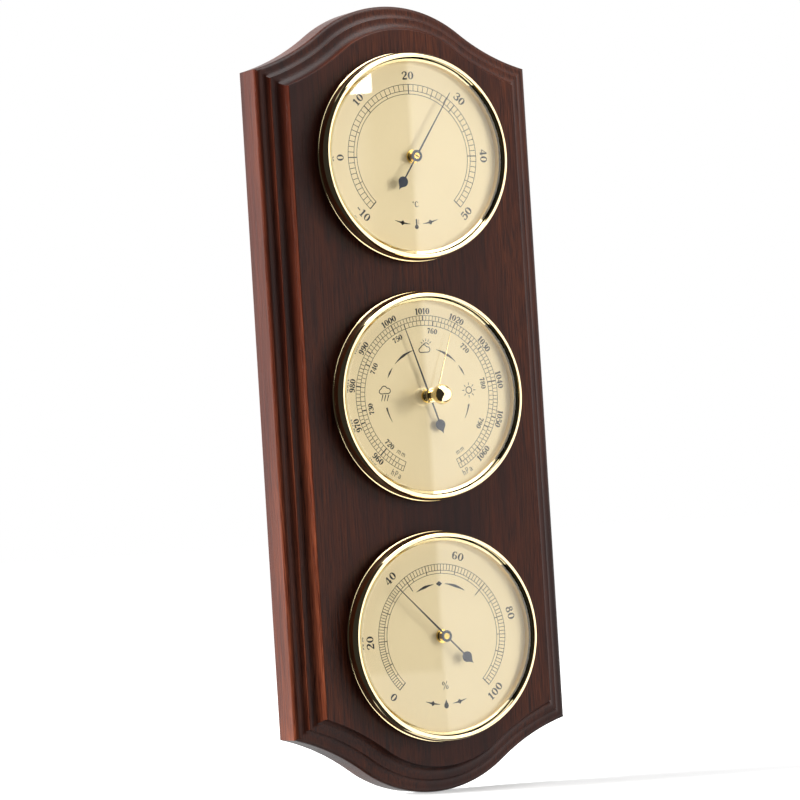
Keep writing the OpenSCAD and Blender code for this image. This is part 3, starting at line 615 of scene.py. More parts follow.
def row_tree():
    """Copies of a shape set round an axis that points out of the wall"""
    name = "Round row"
    if name in bpy.data.node_groups:
        return bpy.data.node_groups[name]
    tree, given, result = geometry_tree(name, [
        ("Count", "NodeSocketInt"), ("First Turn", "NodeSocketFloat"), ("Step", "NodeSocketFloat"),
        ("Centre", "NodeSocketVector"), ("Finish", "NodeSocketMaterial")])
    places = add(tree, "GeometryNodePoints",
                 {"Count": given.outputs["Count"], "Position": given.outputs["Centre"]})
    number = add(tree, "GeometryNodeInputIndex")
    turn = add(tree, "ShaderNodeMath", {0: number.outputs[0], 1: given.outputs["Step"],
                                        2: given.outputs["First Turn"]}, operation="MULTIPLY_ADD")
    angles = add(tree, "ShaderNodeCombineXYZ", {"Y": turn.outputs[0]})
    rotation = add(tree, "FunctionNodeEulerToRotation", {0: angles.outputs[0]})
    copies = add(tree, "GeometryNodeInstanceOnPoints",
                 {"Points": places.outputs[0], "Instance": given.outputs["Geometry"],
                  "Rotation": rotation.outputs[0]})
    finish_tree(tree, given, result, copies.outputs[0])
    return tree


def marks_tree():
    """A bar on every point, turned and sized by the point's own turn and bar attributes"""
    name = "Scale marks"
    if name in bpy.data.node_groups:
        return bpy.data.node_groups[name]
    tree, given, result = geometry_tree(name, [
        ("Thickness", "NodeSocketFloat"), ("Finish", "NodeSocketMaterial")])
    turn = add(tree, "GeometryNodeInputNamedAttribute", {"Name": "turn"}, data_type="FLOAT")
    bar = add(tree, "GeometryNodeInputNamedAttribute", {"Name": "bar"}, data_type="FLOAT_VECTOR")
    sides = add(tree, "ShaderNodeSeparateXYZ", {0: bar.outputs[0]})
    size = add(tree, "ShaderNodeCombineXYZ", {"X": sides.outputs["X"],
                                              "Y": given.outputs["Thickness"], "Z": sides.outputs["Z"]})
    angles = add(tree, "ShaderNodeCombineXYZ", {"Y": turn.outputs[0]})
    rotation = add(tree, "FunctionNodeEulerToRotation", {0: angles.outputs[0]})
    cube = add(tree, "GeometryNodeMeshCube", {"Size": (1, 1, 1)})
    copies = add(tree, "GeometryNodeInstanceOnPoints",
                 {"Points": given.outputs["Geometry"], "Instance": cube.outputs["Mesh"],
                  "Rotation": rotation.outputs[0], "Scale": size.outputs[0]})
    finish_tree(tree, given, result, copies.outputs[0])
    return tree


def grown(mesh, tree, values):
    """The plain mesh that a geometry tree makes from a mesh and its named inputs"""
    seed = loose_object("seed", mesh)
    modifier = seed.modifiers.new(tree.name, "NODES")
    modifier.node_group = tree
    for item in tree.interface.items_tree:
        if item.in_out == "INPUT" and item.name in values:
            modifier[item.identifier] = values[item.name]
    return plain_copy(seed)


# Board

MOULD_STEPS = {"round": 10, "hollow": 8, "cove": 16, "edge": 5}
ARCH_HALF_ANGLE = 37.2
# The edge from the wall to the face: plain side, hollow, small step with its land, cove, sharp edge
SIDE_T, BACK_EDGE = 14.8, 0.3
HOLLOW_W, HOLLOW_RISE = 3.8, 1.9
STEP_H, LAND_W, STEP_EDGE_R, EDGE_R = 0.9, 0.4, 0.25, 0.4
FLANK_STEPS, ARCH_STEPS = 14, 18
BORE_R = 44.6


def moulding(edge_r, cove_r):
    """Section of the board's edge: distance in from the outline, distance from the wall"""
    hollow_r = (HOLLOW_W ** 2 + HOLLOW_RISE ** 2) / (2 * HOLLOW_RISE)
    hollow_angle = 2 * degrees(atan2(HOLLOW_RISE, HOLLOW_W))
    cove_x = edge_r + HOLLOW_W + LAND_W
    cove_d = SIDE_T + edge_r + HOLLOW_RISE + STEP_H
    curve = [(BACK_EDGE, 0), (BACK_EDGE * 0.3, BACK_EDGE * 0.3), (0, BACK_EDGE)]
    curve += arc(edge_r, SIDE_T, edge_r, 180, 92, MOULD_STEPS["round"])
    curve += arc(edge_r, SIDE_T + edge_r + hollow_r, hollow_r, 272, 270 + hollow_angle,
                 MOULD_STEPS["hollow"])
    curve += arc(cove_x - LAND_W + STEP_EDGE_R, cove_d - STEP_EDGE_R, STEP_EDGE_R, 180, 90, 3)
    curve += arc(cove_x, cove_d + cove_r, cove_r, 271, 360, MOULD_STEPS["cove"])
    inner = cove_x + cove_r
    curve += arc(inner + EDGE_R, BOARD_T - EDGE_R, EDGE_R, 172, 90, MOULD_STEPS["edge"])
    return curve


def outline_ring(inset, arch_r, flank_r):
    """The board's outline at that inset, from the upper right corner round against the clock"""
    half = BOARD_W / 2
    arch_y = BOARD_H / 2 - arch_r
    reach = arch_r + flank_r
    flank_x = reach * sin(radians(ARCH_HALF_ANGLE))
    flank_y = arch_y + reach * cos(radians(ARCH_HALF_ANGLE))
    corner = degrees(asin((flank_x - (half - inset)) / (flank_r + inset)))
    quarter = []
    for i in range(FLANK_STEPS):
        a = radians(corner + (ARCH_HALF_ANGLE - corner) * i / FLANK_STEPS)
        quarter.append((flank_x - (flank_r + inset) * sin(a), flank_y - (flank_r + inset) * cos(a)))
    for i in range(ARCH_STEPS):
        a = radians(ARCH_HALF_ANGLE * (1 - i / ARCH_STEPS))
        quarter.append(((arch_r - inset) * sin(a), arch_y + (arch_r - inset) * cos(a)))
    top = quarter + [(0, arch_y + arch_r - inset)] + [(-x, y) for x, y in reversed(quarter)]
    return top + [(-x, -y) for x, y in top]


def board_mesh(settings):
    middle = (BOARD_LOW.z + BOARD_HIGH.z) / 2
    arch_r, flank_r = settings.arch_radius / MM, settings.flank_radius / MM
    section = moulding(settings.edge_rounding / MM, settings.cove_radius / MM)
    rings, points = [], []
    for inset, depth in section:
        ring = outline_ring(inset, arch_r, flank_r)
        rings.append(range(len(points), len(points) + len(ring)))
        points += [spot(middle, x, y, depth) for x, y in ring]
    count = len(rings[0])
    faces = [(low[i], low[(i + 1) % count], high[(i + 1) % count], high[i])
             for low, high in zip(rings, rings[1:]) for i in range(count)]
    faces += [tuple(rings[0]), tuple(rings[-1])]
    return mesh_from("board", points, faces)


def rotated_block(axis, angle, low, high):
    """A box laid out at angle 0 and turned about an instrument's axis"""
    mesh = block(low, high)
    centre = Vector((0, 0, axis * MM))
    mesh.transform(Matrix.Translation(centre) @ Matrix.Rotation(-radians(angle), 4, "Y"))
    return mesh


# Claws that hold the cases, and their pockets in the board
CLAW_ANGLES = (30, 150, 270)
CLAW_FROM, CLAW_L, CLAW_W, CLAW_T, CLAW_CORNER_R = 39.5, 13.0, 9.0, 1.0, 2
CLAW_SCREW_X, CLAW_HOLE_R = 48.6, 1.4
POCKET_FROM, CLAW_ROOM = 43, 0.3

# Keyhole plate, its screws, the seats of their heads, and the room for the nail behind it
HANGER_CORNER_R, HANGER_ROOM = 1.5, 0.15
HANGER_SCREWS = ((-17, 1), (17, 1))
KEYHOLE_R, KEYHOLE_SLOT_R, KEYHOLE_RISE = 4.5, 2.2, 5
SINK_R, SINK_FLOOR_R, SINK_HOLE_R = 3.1, 3.2, 1.7
SINK_FROM, SINK_TO = 0.75, 1.5
NAIL_ROOM_R, NAIL_ROOM_DEPTH = 4.9, 9


class WEATHER_OT_board(bpy.types.Operator):
    """Builds the moulded board with its bores and pockets"""
    bl_idname = "weather.board"
    bl_label = "Board"

    def execute(self, context):
        mesh = board_mesh(context.scene.weather_board)
        front = BOARD_T + BORE_OVERCUT
        section = [(0, -BORE_OVERCUT), (BORE_R, -BORE_OVERCUT), (BORE_R, front), (0, front)]
        bores = [lathe("bore", AXES[name], section, steps=SMALL_LATHE_STEPS, closed=False)
                 for name in INSTRUMENTS]
        mesh = cut(mesh, merged("bores", bores))
        inner = (POCKET_FROM, -CASE_BACK, -CLAW_W / 2 - CLAW_ROOM)
        outer = (CLAW_FROM + CLAW_L + CLAW_ROOM, POCKET_OVERCUT, CLAW_W / 2 + CLAW_ROOM)
        pockets = [rotated_block(AXES[name], angle, inner, outer)
                   for name in INSTRUMENTS for angle in CLAW_ANGLES]
        low, high = box_mm("hanger_plate")
        pockets.append(block((low.x - HANGER_ROOM, low.y, low.z - HANGER_ROOM),
                             (high.x + HANGER_ROOM, POCKET_OVERCUT, high.z + HANGER_ROOM)))
        mesh = cut(mesh, merged("pockets", pockets))
        nail_room = keyhole_outline(NAIL_ROOM_R, NAIL_ROOM_R)
        mesh = cut(mesh, plate("keyhole room", 0, [nail_room], 1, NAIL_ROOM_DEPTH, bevel=0.01))
        sharpen(mesh)
        settle("board_moulded", mesh, "mahogany", nodes=["board"])
        return {"FINISHED"}


def keyhole_outline(hole_r, slot_r):
    """Round hole with a slot above it"""
    meet = degrees(acos(min(1, slot_r / hole_r)))
    return arc(0, KEYHOLE_RISE, slot_r, 0, 180, 16) + arc(0, 0, hole_r, 180 - meet, 360 + meet, 40)


def slotted(mesh, axis, x, y, top, radius, width, depth, direction=1):
    """The mesh with a screwdriver slot; direction 1 cuts from the wall side and -1 from the front"""
    low_y, high_y = sorted((-(top - direction * SLOT_OVERCUT), -(top + direction * depth)))
    tool = block((x - radius - SLOT_OVERCUT, low_y, axis + y - width / 2),
                 (x + radius + SLOT_OVERCUT, high_y, axis + y + width / 2))
    result = cut(mesh, tool)
    sharpen(result)
    return result


THREAD_PITCH, THREAD_ROOT, SCREW_TIP = 1.1, 0.78, 1.5
SCREW_SLOT_W, SCREW_SLOT_SHARE = 0.7, 0.6


def screw_mesh(axis, x, y, head_r, head_from, floor, shank_r, end):
    """Cheese-head wood screw, head towards the wall side"""
    dome, root = head_from + (floor - head_from) * 0.3, shank_r * THREAD_ROOT
    profile = [(0, head_from), (head_r * 0.8, head_from), (head_r, dome), (head_r, floor), (shank_r, floor)]
    for i in range(int((end - floor - SCREW_TIP) / THREAD_PITCH)):
        start = floor + 0.4 + i * THREAD_PITCH
        profile += [(root, start), (shank_r, start + THREAD_PITCH * 0.5),
                    (root, start + THREAD_PITCH * 0.9)]
    profile += [(0, end)]
    mesh = lathe("screw", axis, profile, steps=24, closed=False, crease=28)
    mesh.transform(Matrix.Translation(Vector((x, 0, y)) * MM))
    return slotted(mesh, axis, x, y, head_from, head_r, SCREW_SLOT_W,
                   (floor - head_from) * SCREW_SLOT_SHARE)


class WEATHER_OT_hanger(bpy.types.Operator):
    """Builds the keyhole plate and its two screws"""
    bl_idname = "weather.hanger"
    bl_label = "Keyhole plate"

    def execute(self, context):
        low, high = box_mm("hanger_plate")
        corner = HANGER_CORNER_R
        rim = []
        for x, y, start in ((high.x, high.z, 0), (low.x, high.z, 90), (low.x, low.z, 180),
                            (high.x, low.z, 270)):
            inward = (1 if start in (90, 180) else -1, 1 if start > 90 else -1)
            rim += arc(x + inward[0] * corner, y + inward[1] * corner, corner, start, start + 90, 6)
        holes = [keyhole_outline(KEYHOLE_R, KEYHOLE_SLOT_R)]
        holes += [circle(x, y, SINK_R) for x, y in HANGER_SCREWS]
        sheet = plate("keyhole_plate", 0, [rim] + holes, -high.y, -low.y, bevel=0.15)
        settle("keyhole_plate", sheet, "case_steel", nodes=["hanger_plate"])
        (left, rise), (right, _) = HANGER_SCREWS
        floor = plate("screw_seats", 0, [circle(left, rise, SINK_FLOOR_R), circle(left, rise, SINK_HOLE_R)],
                      SINK_FROM, SINK_TO, bevel=0.02)
        other = floor.copy()
        other.transform(Matrix.Translation(((right - left) * MM, 0, 0)))
        settle("keyhole_screw_seats", merged("screw_seats", [floor, other]), "case_steel")
        pair = [screw_mesh(0, x, y, head_r=3, head_from=0.1, floor=0.7, shank_r=1.6, end=11.7)
                for x, y in HANGER_SCREWS]
        settle("keyhole_screws", merged("keyhole_screws", pair), "bright_steel", nodes=["hanger_screws"])
        return {"FINISHED"}


# Cases

CASE_R, CASE_WALL, CASE_FLOOR_R, CASE_CORNER_R, CASE_SOFT = 44.0, 0.8, 41.5, 1.4, 0.4
FLANGE_R, FLANGE_T = 50.4, 0.6
SEAT_R, SEAT_BULGE, SEAT_GAP = 48.6, 0.5, 0.3
ADJUSTING_HOLES = {"thermo": (0, 0), "baro": (-25.5, 0), "hygro": (-0.4, -27)}
ADJUSTING_HOLE_R = 3.0
VENTS = {"thermo": 12, "baro": 6, "hygro": 18}
VENT_RING_R, VENT_R = 38, 1.5


def case_holes(name):
    """Adjusting hole and ring of vents in a case's back: (x, y, radius)"""
    turns = [2 * pi * (i + 0.5) / VENTS[name] for i in range(VENTS[name])]
    vents = [(VENT_RING_R * cos(a), VENT_RING_R * sin(a), VENT_R) for a in turns]
    return [(*ADJUSTING_HOLES[name], ADJUSTING_HOLE_R)] + vents


class WEATHER_OT_cases(bpy.types.Operator):
    """Builds the drum-shaped cases with their seats, claws and screws"""
    bl_idname = "weather.cases"
    bl_label = "Cases"

    def execute(self, context):
        for name in INSTRUMENTS:
            self.case(name)
            self.claws(name)
        return {"FINISHED"}

    def case(self, name):
        axis = AXES[name]
        floor = CASE_BACK + CASE_WALL
        flange_back = DIAL_BACK - FLANGE_T
        inner = CASE_R - CASE_WALL
        profile = [(CASE_FLOOR_R, floor), (CASE_FLOOR_R, CASE_BACK)]
        profile += arc(CASE_R - CASE_CORNER_R, CASE_BACK + CASE_CORNER_R, CASE_CORNER_R, 270, 360, 6)
        profile += [(CASE_R, flange_back - CASE_SOFT), (CASE_R + CASE_SOFT, flange_back),
                    (FLANGE_R, flange_back), (FLANGE_R, DIAL_BACK), (inner, DIAL_BACK),
                    (inner, floor + CASE_SOFT), (inner - CASE_SOFT, floor)]
        settle(f"{name}_case_drum", lathe("drum", axis, profile), "case_steel", nodes=[f"{name}_can"])
        outlines = [circle(0, 0, CASE_FLOOR_R, 128)]
        outlines += [circle(x, y, r, 28) for x, y, r in case_holes(name)]
        sheet = plate("floor", axis, outlines, CASE_BACK, floor, bevel=0.1)
        settle(f"{name}_case_floor", sheet, "case_steel", nodes=[f"{name}_can"])
        middle, half = (BOARD_T + flange_back) / 2, (flange_back - BOARD_T) / 2
        bulge = [(SEAT_R - SEAT_BULGE + SEAT_BULGE * cos(a), middle + half * sin(a))
                 for a in (radians(-90 + 22.5 * i) for i in range(9))]
        section = [(CASE_R + SEAT_GAP, BOARD_T)] + bulge + [(CASE_R + SEAT_GAP, flange_back)]
        settle(f"{name}_seat_ring", lathe("seat", axis, section), "black_rubber", nodes=[f"{name}_seat"])

    def claws(self, name):
        axis = AXES[name]
        centre = Vector((0, 0, axis * MM))
        half, end, corner = CLAW_W / 2, CLAW_FROM + CLAW_L, CLAW_CORNER_R
        rim = arc(end - corner, half - corner, corner, 0, 90, 6)
        rim += [(CLAW_FROM, half), (CLAW_FROM, -half)]
        rim += arc(end - corner, corner - half, corner, 270, 360, 6)
        hole = circle(CLAW_SCREW_X, 0, CLAW_HOLE_R, 20)
        one = plate("claw", 0, [rim, hole], CASE_BACK - CLAW_T, CASE_BACK, bevel=0.12)
        row = {"Count": 3, "First Turn": -radians(CLAW_ANGLES[0]), "Step": -radians(120),
               "Centre": centre, "Finish": material("case_steel")}
        settle(f"{name}_claw_set", grown(one, row_tree(), row), "case_steel", nodes=[f"{name}_claws"])
        screw = screw_mesh(0, CLAW_SCREW_X, 0, head_r=2.3, head_from=0.05, floor=0.5, shank_r=1.25,
                           end=10.5)
        row["Finish"] = material("bright_steel")
        settle(f"{name}_claw_screw_set", grown(screw, row_tree(), row), "bright_steel",
               nodes=[f"{name}_claw_screws"])


# Bezels, glasses and sight rings

BEZEL_R, LIP_R, GLASS_R, SIGHT_R = 51.5, 48.4, 49.3, 46.5
BEZEL_BEAD_R, BEZEL_WALL_H, BEZEL_LEAN, CREST_W = 0.45, 3.2, 0.25, 0.8
# The sight ring stands upright to this height over the dial, then turns into its slope
SIGHT_UPRIGHT = 3.25
SIGHT_TURN = ((0.05, 3.5), (0.18, 3.7))
DIAL_R, DIAL_HOLE_R = GLASS_R - 0.1, 2.6
GLASS_CHAMFER, GLASS_HOLE_R = 0.15, 2.45


class WEATHER_OT_bezels(bpy.types.Operator):
    """Builds the polished bezels, the glasses and the gilt sight rings"""
    bl_idname = "weather.bezels"
    bl_label = "Bezels and glasses"

    def execute(self, context):
        sight = [(SIGHT_R, DIAL_FACE), (SIGHT_R, DIAL_FACE + SIGHT_UPRIGHT)]
        sight += [(SIGHT_R + out, DIAL_FACE + height) for out, height in SIGHT_TURN]
        sight += [(LIP_R + 0.1, GLASS_BACK), (DIAL_R, GLASS_BACK), (DIAL_R, DIAL_FACE)]
        profile = self.bezel_section()
        for name in INSTRUMENTS:
            axis = AXES[name]
            settle(f"{name}_bezel_ring", lathe("bezel", axis, profile, steps=FINE_LATHE_STEPS, crease=40),
                   "bezel_brass", nodes=[f"{name}_bezel"])
            self.glass(name, axis)
            settle(f"{name}_sight_slope", lathe("sight", axis, sight, steps=FINE_LATHE_STEPS),
                   "sight_gold", nodes=[f"{name}_sight_ring"], slot="dial_gold")
        return {"FINISHED"}

    def bezel_section(self):
        """Bead at the board, upright wall, rounded crest, lip, and the grooves for glass and flange"""
        wall_r, crest_r = BEZEL_R - BEZEL_LEAN, LIP_R + CREST_W
        turn_d = BEZEL_BACK + BEZEL_WALL_H
        rise = BEZEL_FRONT - turn_d
        fall = BEZEL_FRONT - GLASS_FRONT
        hook_r, flange_room_r, glass_room_r = FLANGE_R - 0.5, FLANGE_R + 0.1, GLASS_R + 0.15
        section = [(hook_r, BEZEL_BACK)]
        section += arc(BEZEL_R - BEZEL_BEAD_R, BEZEL_BACK + BEZEL_BEAD_R, BEZEL_BEAD_R, -90, 85, 12)
        section += [(crest_r + (wall_r - crest_r) * cos(a), turn_d + rise * sin(a))
                    for a in map(radians, range(0, 91, 5))]
        section += [(crest_r - (crest_r - LIP_R) * sin(a), GLASS_FRONT + fall * cos(a))
                    for a in map(radians, range(15, 91, 15))]
        return section + [(glass_room_r, GLASS_FRONT), (glass_room_r, DIAL_BACK),
                          (flange_room_r, DIAL_BACK), (flange_room_r, DIAL_BACK - FLANGE_T),
                          (hook_r, DIAL_BACK - FLANGE_T)]

    def glass(self, name, axis):
        chamfer = GLASS_CHAMFER
        hole = GLASS_HOLE_R if name == "baro" else 0
        profile = [(hole, GLASS_BACK), (GLASS_R - chamfer, GLASS_BACK), (GLASS_R, GLASS_BACK + chamfer),
                   (GLASS_R, GLASS_FRONT - chamfer), (GLASS_R - chamfer, GLASS_FRONT), (hole, GLASS_FRONT)]
        settle(f"{name}_window", lathe("window", axis, profile, closed=hole > 0), "window_glass",
               nodes=[f"{name}_glass"])


# Dial print

PRINT_BACK, PRINT_T = DIAL_FACE - 0.01, 0.035

# Numerals and unit marks as strokes of (x, y, width) on a body one unit high.
# An "o" stroke is a closed oval: (middle x, middle y, half width, half height, thick, thin).
STROKES = {
    "0": (0.62, [("o", 0.31, 0.5, 0.215, 0.44, 0.165, 0.06)]),
    "1": (0.46, [((0.24, 0.02, 0.15), (0.24, 0.98, 0.15)), ((0.06, 0.03, 0.055), (0.42, 0.03, 0.055)),
                 ((0.04, 0.80, 0.05), (0.14, 0.85, 0.08), (0.24, 0.95, 0.09))]),
    "2": (0.60, [((0.13, 0.74, 0.15), (0.09, 0.78, 0.12), (0.14, 0.90, 0.08), (0.30, 0.965, 0.07),
                  (0.46, 0.89, 0.13), (0.50, 0.72, 0.16), (0.42, 0.53, 0.13), (0.25, 0.33, 0.08),
                  (0.07, 0.10, 0.06)), ((0.05, 0.07, 0.13), (0.53, 0.07, 0.13)),
                 ((0.52, 0.04, 0.05), (0.55, 0.24, 0.04))]),
    "3": (0.58, [((0.12, 0.76, 0.13), (0.10, 0.82, 0.10), (0.17, 0.93, 0.07), (0.30, 0.965, 0.07),
                  (0.44, 0.87, 0.13), (0.46, 0.72, 0.15), (0.38, 0.57, 0.09), (0.22, 0.53, 0.055)),
                 ((0.24, 0.53, 0.055), (0.40, 0.50, 0.09), (0.51, 0.36, 0.15), (0.50, 0.17, 0.15),
                  (0.32, 0.035, 0.07), (0.15, 0.07, 0.08), (0.07, 0.17, 0.10), (0.10, 0.24, 0.12))]),
    "4": (0.62, [((0.40, 0.97, 0.05), (0.03, 0.27, 0.05)), ((0.02, 0.27, 0.075), (0.60, 0.27, 0.075)),
                 ((0.42, 0.98, 0.14), (0.42, 0.02, 0.14)), ((0.27, 0.03, 0.05), (0.57, 0.03, 0.05))]),
    "5": (0.58, [((0.13, 0.92, 0.12), (0.50, 0.92, 0.12)), ((0.13, 0.97, 0.05), (0.10, 0.49, 0.05)),
                 ((0.10, 0.50, 0.05), (0.24, 0.61, 0.07), (0.42, 0.58, 0.12), (0.51, 0.36, 0.16),
                  (0.45, 0.13, 0.13), (0.28, 0.035, 0.07), (0.13, 0.07, 0.08), (0.06, 0.17, 0.10),
                  (0.10, 0.24, 0.12))]),
    "6": (0.60, [("o", 0.31, 0.31, 0.19, 0.26, 0.15, 0.055),
                 ((0.47, 0.80, 0.12), (0.46, 0.90, 0.08), (0.34, 0.965, 0.065), (0.19, 0.86, 0.11),
                  (0.115, 0.62, 0.15), (0.12, 0.36, 0.15))]),
    "7": (0.56, [((0.05, 0.90, 0.14), (0.53, 0.90, 0.14)), ((0.05, 0.72, 0.04), (0.07, 0.95, 0.05)),
                 ((0.51, 0.88, 0.06), (0.37, 0.55, 0.10), (0.27, 0.30, 0.14), (0.25, 0.03, 0.16))]),
    "8": (0.60, [("o", 0.30, 0.745, 0.155, 0.205, 0.13, 0.055),
                 ("o", 0.30, 0.275, 0.20, 0.235, 0.14, 0.055)]),
    "-": (0.50, [((0.05, 0.45, 0.09), (0.42, 0.45, 0.09))]),
    "deg": (0.30, [("o", 0.14, 0.84, 0.10, 0.11, 0.05, 0.05)]),
    "C": (0.66, [((0.56, 0.70, 0.07), (0.53, 0.86, 0.05), (0.36, 0.955, 0.06), (0.16, 0.83, 0.10),
                  (0.09, 0.50, 0.13), (0.16, 0.17, 0.10), (0.36, 0.045, 0.06), (0.54, 0.14, 0.05),
                  (0.59, 0.28, 0.05))]),
    "h": (0.52, [((0.08, 0, 0.07), (0.08, 1, 0.07)), ((0.08, 0.45, 0.05), (0.22, 0.62, 0.07),
                  (0.38, 0.58, 0.07), (0.40, 0.30, 0.07), (0.40, 0.0, 0.07))]),
    "P": (0.56, [((0.09, 0, 0.07), (0.09, 1, 0.07)), ((0.09, 0.96, 0.06), (0.34, 0.95, 0.07),
                  (0.47, 0.74, 0.07), (0.34, 0.50, 0.07), (0.09, 0.48, 0.06))]),
    "a": (0.52, [("o", 0.23, 0.18, 0.16, 0.16, 0.07, 0.05),
                 ((0.09, 0.50, 0.06), (0.20, 0.62, 0.06), (0.36, 0.58, 0.07), (0.41, 0.42, 0.07),
                  (0.42, 0.0, 0.07))]),
    "m": (0.84, [((0.08, 0, 0.07), (0.08, 0.62, 0.07)), ((0.08, 0.42, 0.05), (0.20, 0.60, 0.07),
                  (0.36, 0.55, 0.07), (0.38, 0.30, 0.07), (0.38, 0.0, 0.07)),
                 ((0.38, 0.42, 0.05), (0.50, 0.60, 0.07), (0.66, 0.55, 0.07), (0.68, 0.30, 0.07),
                  (0.68, 0.0, 0.07))]),
    "%": (0.92, [("o", 0.20, 0.74, 0.13, 0.19, 0.07, 0.05), ("o", 0.70, 0.26, 0.13, 0.19, 0.07, 0.05),
                 ((0.20, 0.0, 0.05), (0.72, 1.0, 0.05))]),
    " ": (0.30, []),
}


def half_turn(strokes, x, y):
    """The strokes turned upside down about a point"""
    out = []
    for stroke in strokes:
        if stroke[0] == "o":
            out.append(("o", 2 * x - stroke[1], 2 * y - stroke[2], *stroke[3:]))
        else:
            out.append(tuple((2 * x - a, 2 * y - b, w) for a, b, w in stroke))
    return out


STROKES["9"] = (STROKES["6"][0], half_turn(STROKES["6"][1], 0.30, 0.5))


CURVE_PARTS, OVAL_PARTS = 5, 24


def eased(points):
    """Points of (x, y, width) with a smooth curve drawn through them"""
    if len(points) < 3:
        return list(points)
    padded = [points[0]] + list(points) + [points[-1]]
    out = []
    for a, b, c, d in zip(padded, padded[1:], padded[2:], padded[3:]):
        for i in range(CURVE_PARTS):
            t = i / CURVE_PARTS
            out.append(tuple(0.5 * (2 * q + (r - p) * t + (2 * p - 5 * q + 4 * r - s) * t * t +
                                    (3 * q - p - 3 * r + s) * t ** 3) for p, q, r, s in zip(a, b, c, d)))
    return out + [points[-1]]


class Print:
    """Gathers thin raised strokes in an instrument's own millimetres"""

    def __init__(self, axis):
        self.axis = axis
        self.points = []
        self.faces = []

    def ribbon(self, line, closed=False):
        """A band of ink along (x, y, width) points"""
        count = len(line)
        start = len(self.points)
        for i, (x, y, width) in enumerate(line):
            before = line[i - 1] if i or closed else line[i]
            after = line[(i + 1) % count] if i < count - 1 or closed else line[i]
            dx, dy = after[0] - before[0], after[1] - before[1]
            size = hypot(dx, dy) or 1
            nx, ny = -dy / size * width / 2, dx / size * width / 2
            for depth in (PRINT_BACK, PRINT_BACK + PRINT_T):
                self.points.append(spot(self.axis, x + nx, y + ny, depth))
                self.points.append(spot(self.axis, x - nx, y - ny, depth))
        for i in range(count if closed else count - 1):
            p, q = start + 4 * i, start + 4 * ((i + 1) % count)
            self.faces += [(p + 2, p + 3, q + 3, q + 2), (p + 1, p, q, q + 1),
                           (p, p + 2, q + 2, q), (p + 3, p + 1, q + 1, q + 3)]
        if not closed:
            p, q = start, start + 4 * (count - 1)
            self.faces += [(p, p + 1, p + 3, p + 2), (q + 1, q, q + 2, q + 3)]

    def glyph(self, key, place):
        """One numeral or unit mark; place maps a point of the unit body to the dial"""
        for stroke in STROKES[key][1]:
            if stroke[0] == "o":
                _, x, y, rx, ry, thick, thin = stroke
                line = [(x + rx * cos(a), y + ry * sin(a), thin + (thick - thin) * cos(a) ** 2)
                        for a in (2 * pi * i / OVAL_PARTS for i in range(OVAL_PARTS))]
                self.ribbon([place(*point) for point in line], closed=True)
            else:
                self.ribbon([place(*point) for point in eased(stroke)])

    def write(self, keys, radius, turn, height, inward=False, gap=0.10, stretch=1.0, weight=1.0):
        """Marks set along a circle, tops outward or inward, centred on that turn"""
        widths = [STROKES[key][0] * stretch for key in keys]
        total = sum(widths) + gap * (len(keys) - 1)
        at = -total / 2
        for key, width in zip(keys, widths):
            middle = (at + width / 2) * height
            side = -1 if inward else 1
            angle = radians(turn) + side * middle / radius
            out, along = (sin(angle), cos(angle)), (cos(angle), -sin(angle))

            def place(x, y, w, out=out, along=along, width=width, side=side):
                sideways, up = side * (x * stretch - width / 2) * height, side * (y - 0.5) * height
                return (out[0] * (radius + up) + along[0] * sideways,
                        out[1] * (radius + up) + along[1] * sideways, w * height * weight)
            self.glyph(key, place)
            at += width + gap

    def bend(self, radius, start, end, widths):
        """A line along a circle from one turn to another, its width eased between the given ones"""
        steps = max(6, int(abs(end - start) / 2))
        line = []
        for i in range(steps + 1):
            t = i / steps
            place = t * (len(widths) - 1)
            low = min(int(place), len(widths) - 2)
            width = widths[low] + (widths[low + 1] - widths[low]) * (place - low)
            angle = radians(start + (end - start) * t)
            line.append((radius * sin(angle), radius * cos(angle), width))
        self.ribbon(line)

    def mesh(self, name):
        mesh = bpy.data.meshes.new(name)
        mesh.from_pydata([tuple(p) for p in self.points], [], self.faces)
        clean(mesh)
        return mesh


def marks_mesh(axis, marks):
    """Points for the scale marks: each mark is (turn, inner radius, outer radius, width)"""
    mesh = bpy.data.meshes.new("marks")
    depth = PRINT_BACK + PRINT_T / 2
    mesh.from_pydata([tuple(spot(axis, (a + b) / 2 * sin(radians(t)), (a + b) / 2 * cos(radians(t)), depth))
                      for t, a, b, w in marks], [], [])
    turn = mesh.attributes.new("turn", "FLOAT", "POINT")
    bar = mesh.attributes.new("bar", "FLOAT_VECTOR", "POINT")
    for i, (t, a, b, w) in enumerate(marks):
        turn.data[i].value = radians(t)
        bar.data[i].vector = (w * MM, 1, (b - a) * MM)
    return mesh


def print_marks(name, marks):
    values = {"Thickness": PRINT_T * MM, "Finish": material("ink")}
    mesh = grown(marks_mesh(AXES[name], marks), marks_tree(), values)
    settle(f"{name}_scale_marks", mesh, "ink", slot="pointer_blue", even=False)


# Turn for one unit of each scale, and the reading at the top of the dial. The millimetre scale is
# placed by the turn of one of its marks.
CELSIUS_STEP, CELSIUS_TOP = 4.5, 20
PRESSURE_STEP, PRESSURE_TOP = 2.7, 1010
MERCURY_STEP, MERCURY_MARK, MERCURY_MARK_TURN = 3.6, 760, 8.8


def celsius_turn(degrees_celsius):
    return CELSIUS_STEP * (degrees_celsius - CELSIUS_TOP)


def pressure_turn(hectopascals):
    return PRESSURE_STEP * (hectopascals - PRESSURE_TOP)


def mercury_turn(millimetres):
    return MERCURY_MARK_TURN + MERCURY_STEP * (millimetres - MERCURY_MARK)


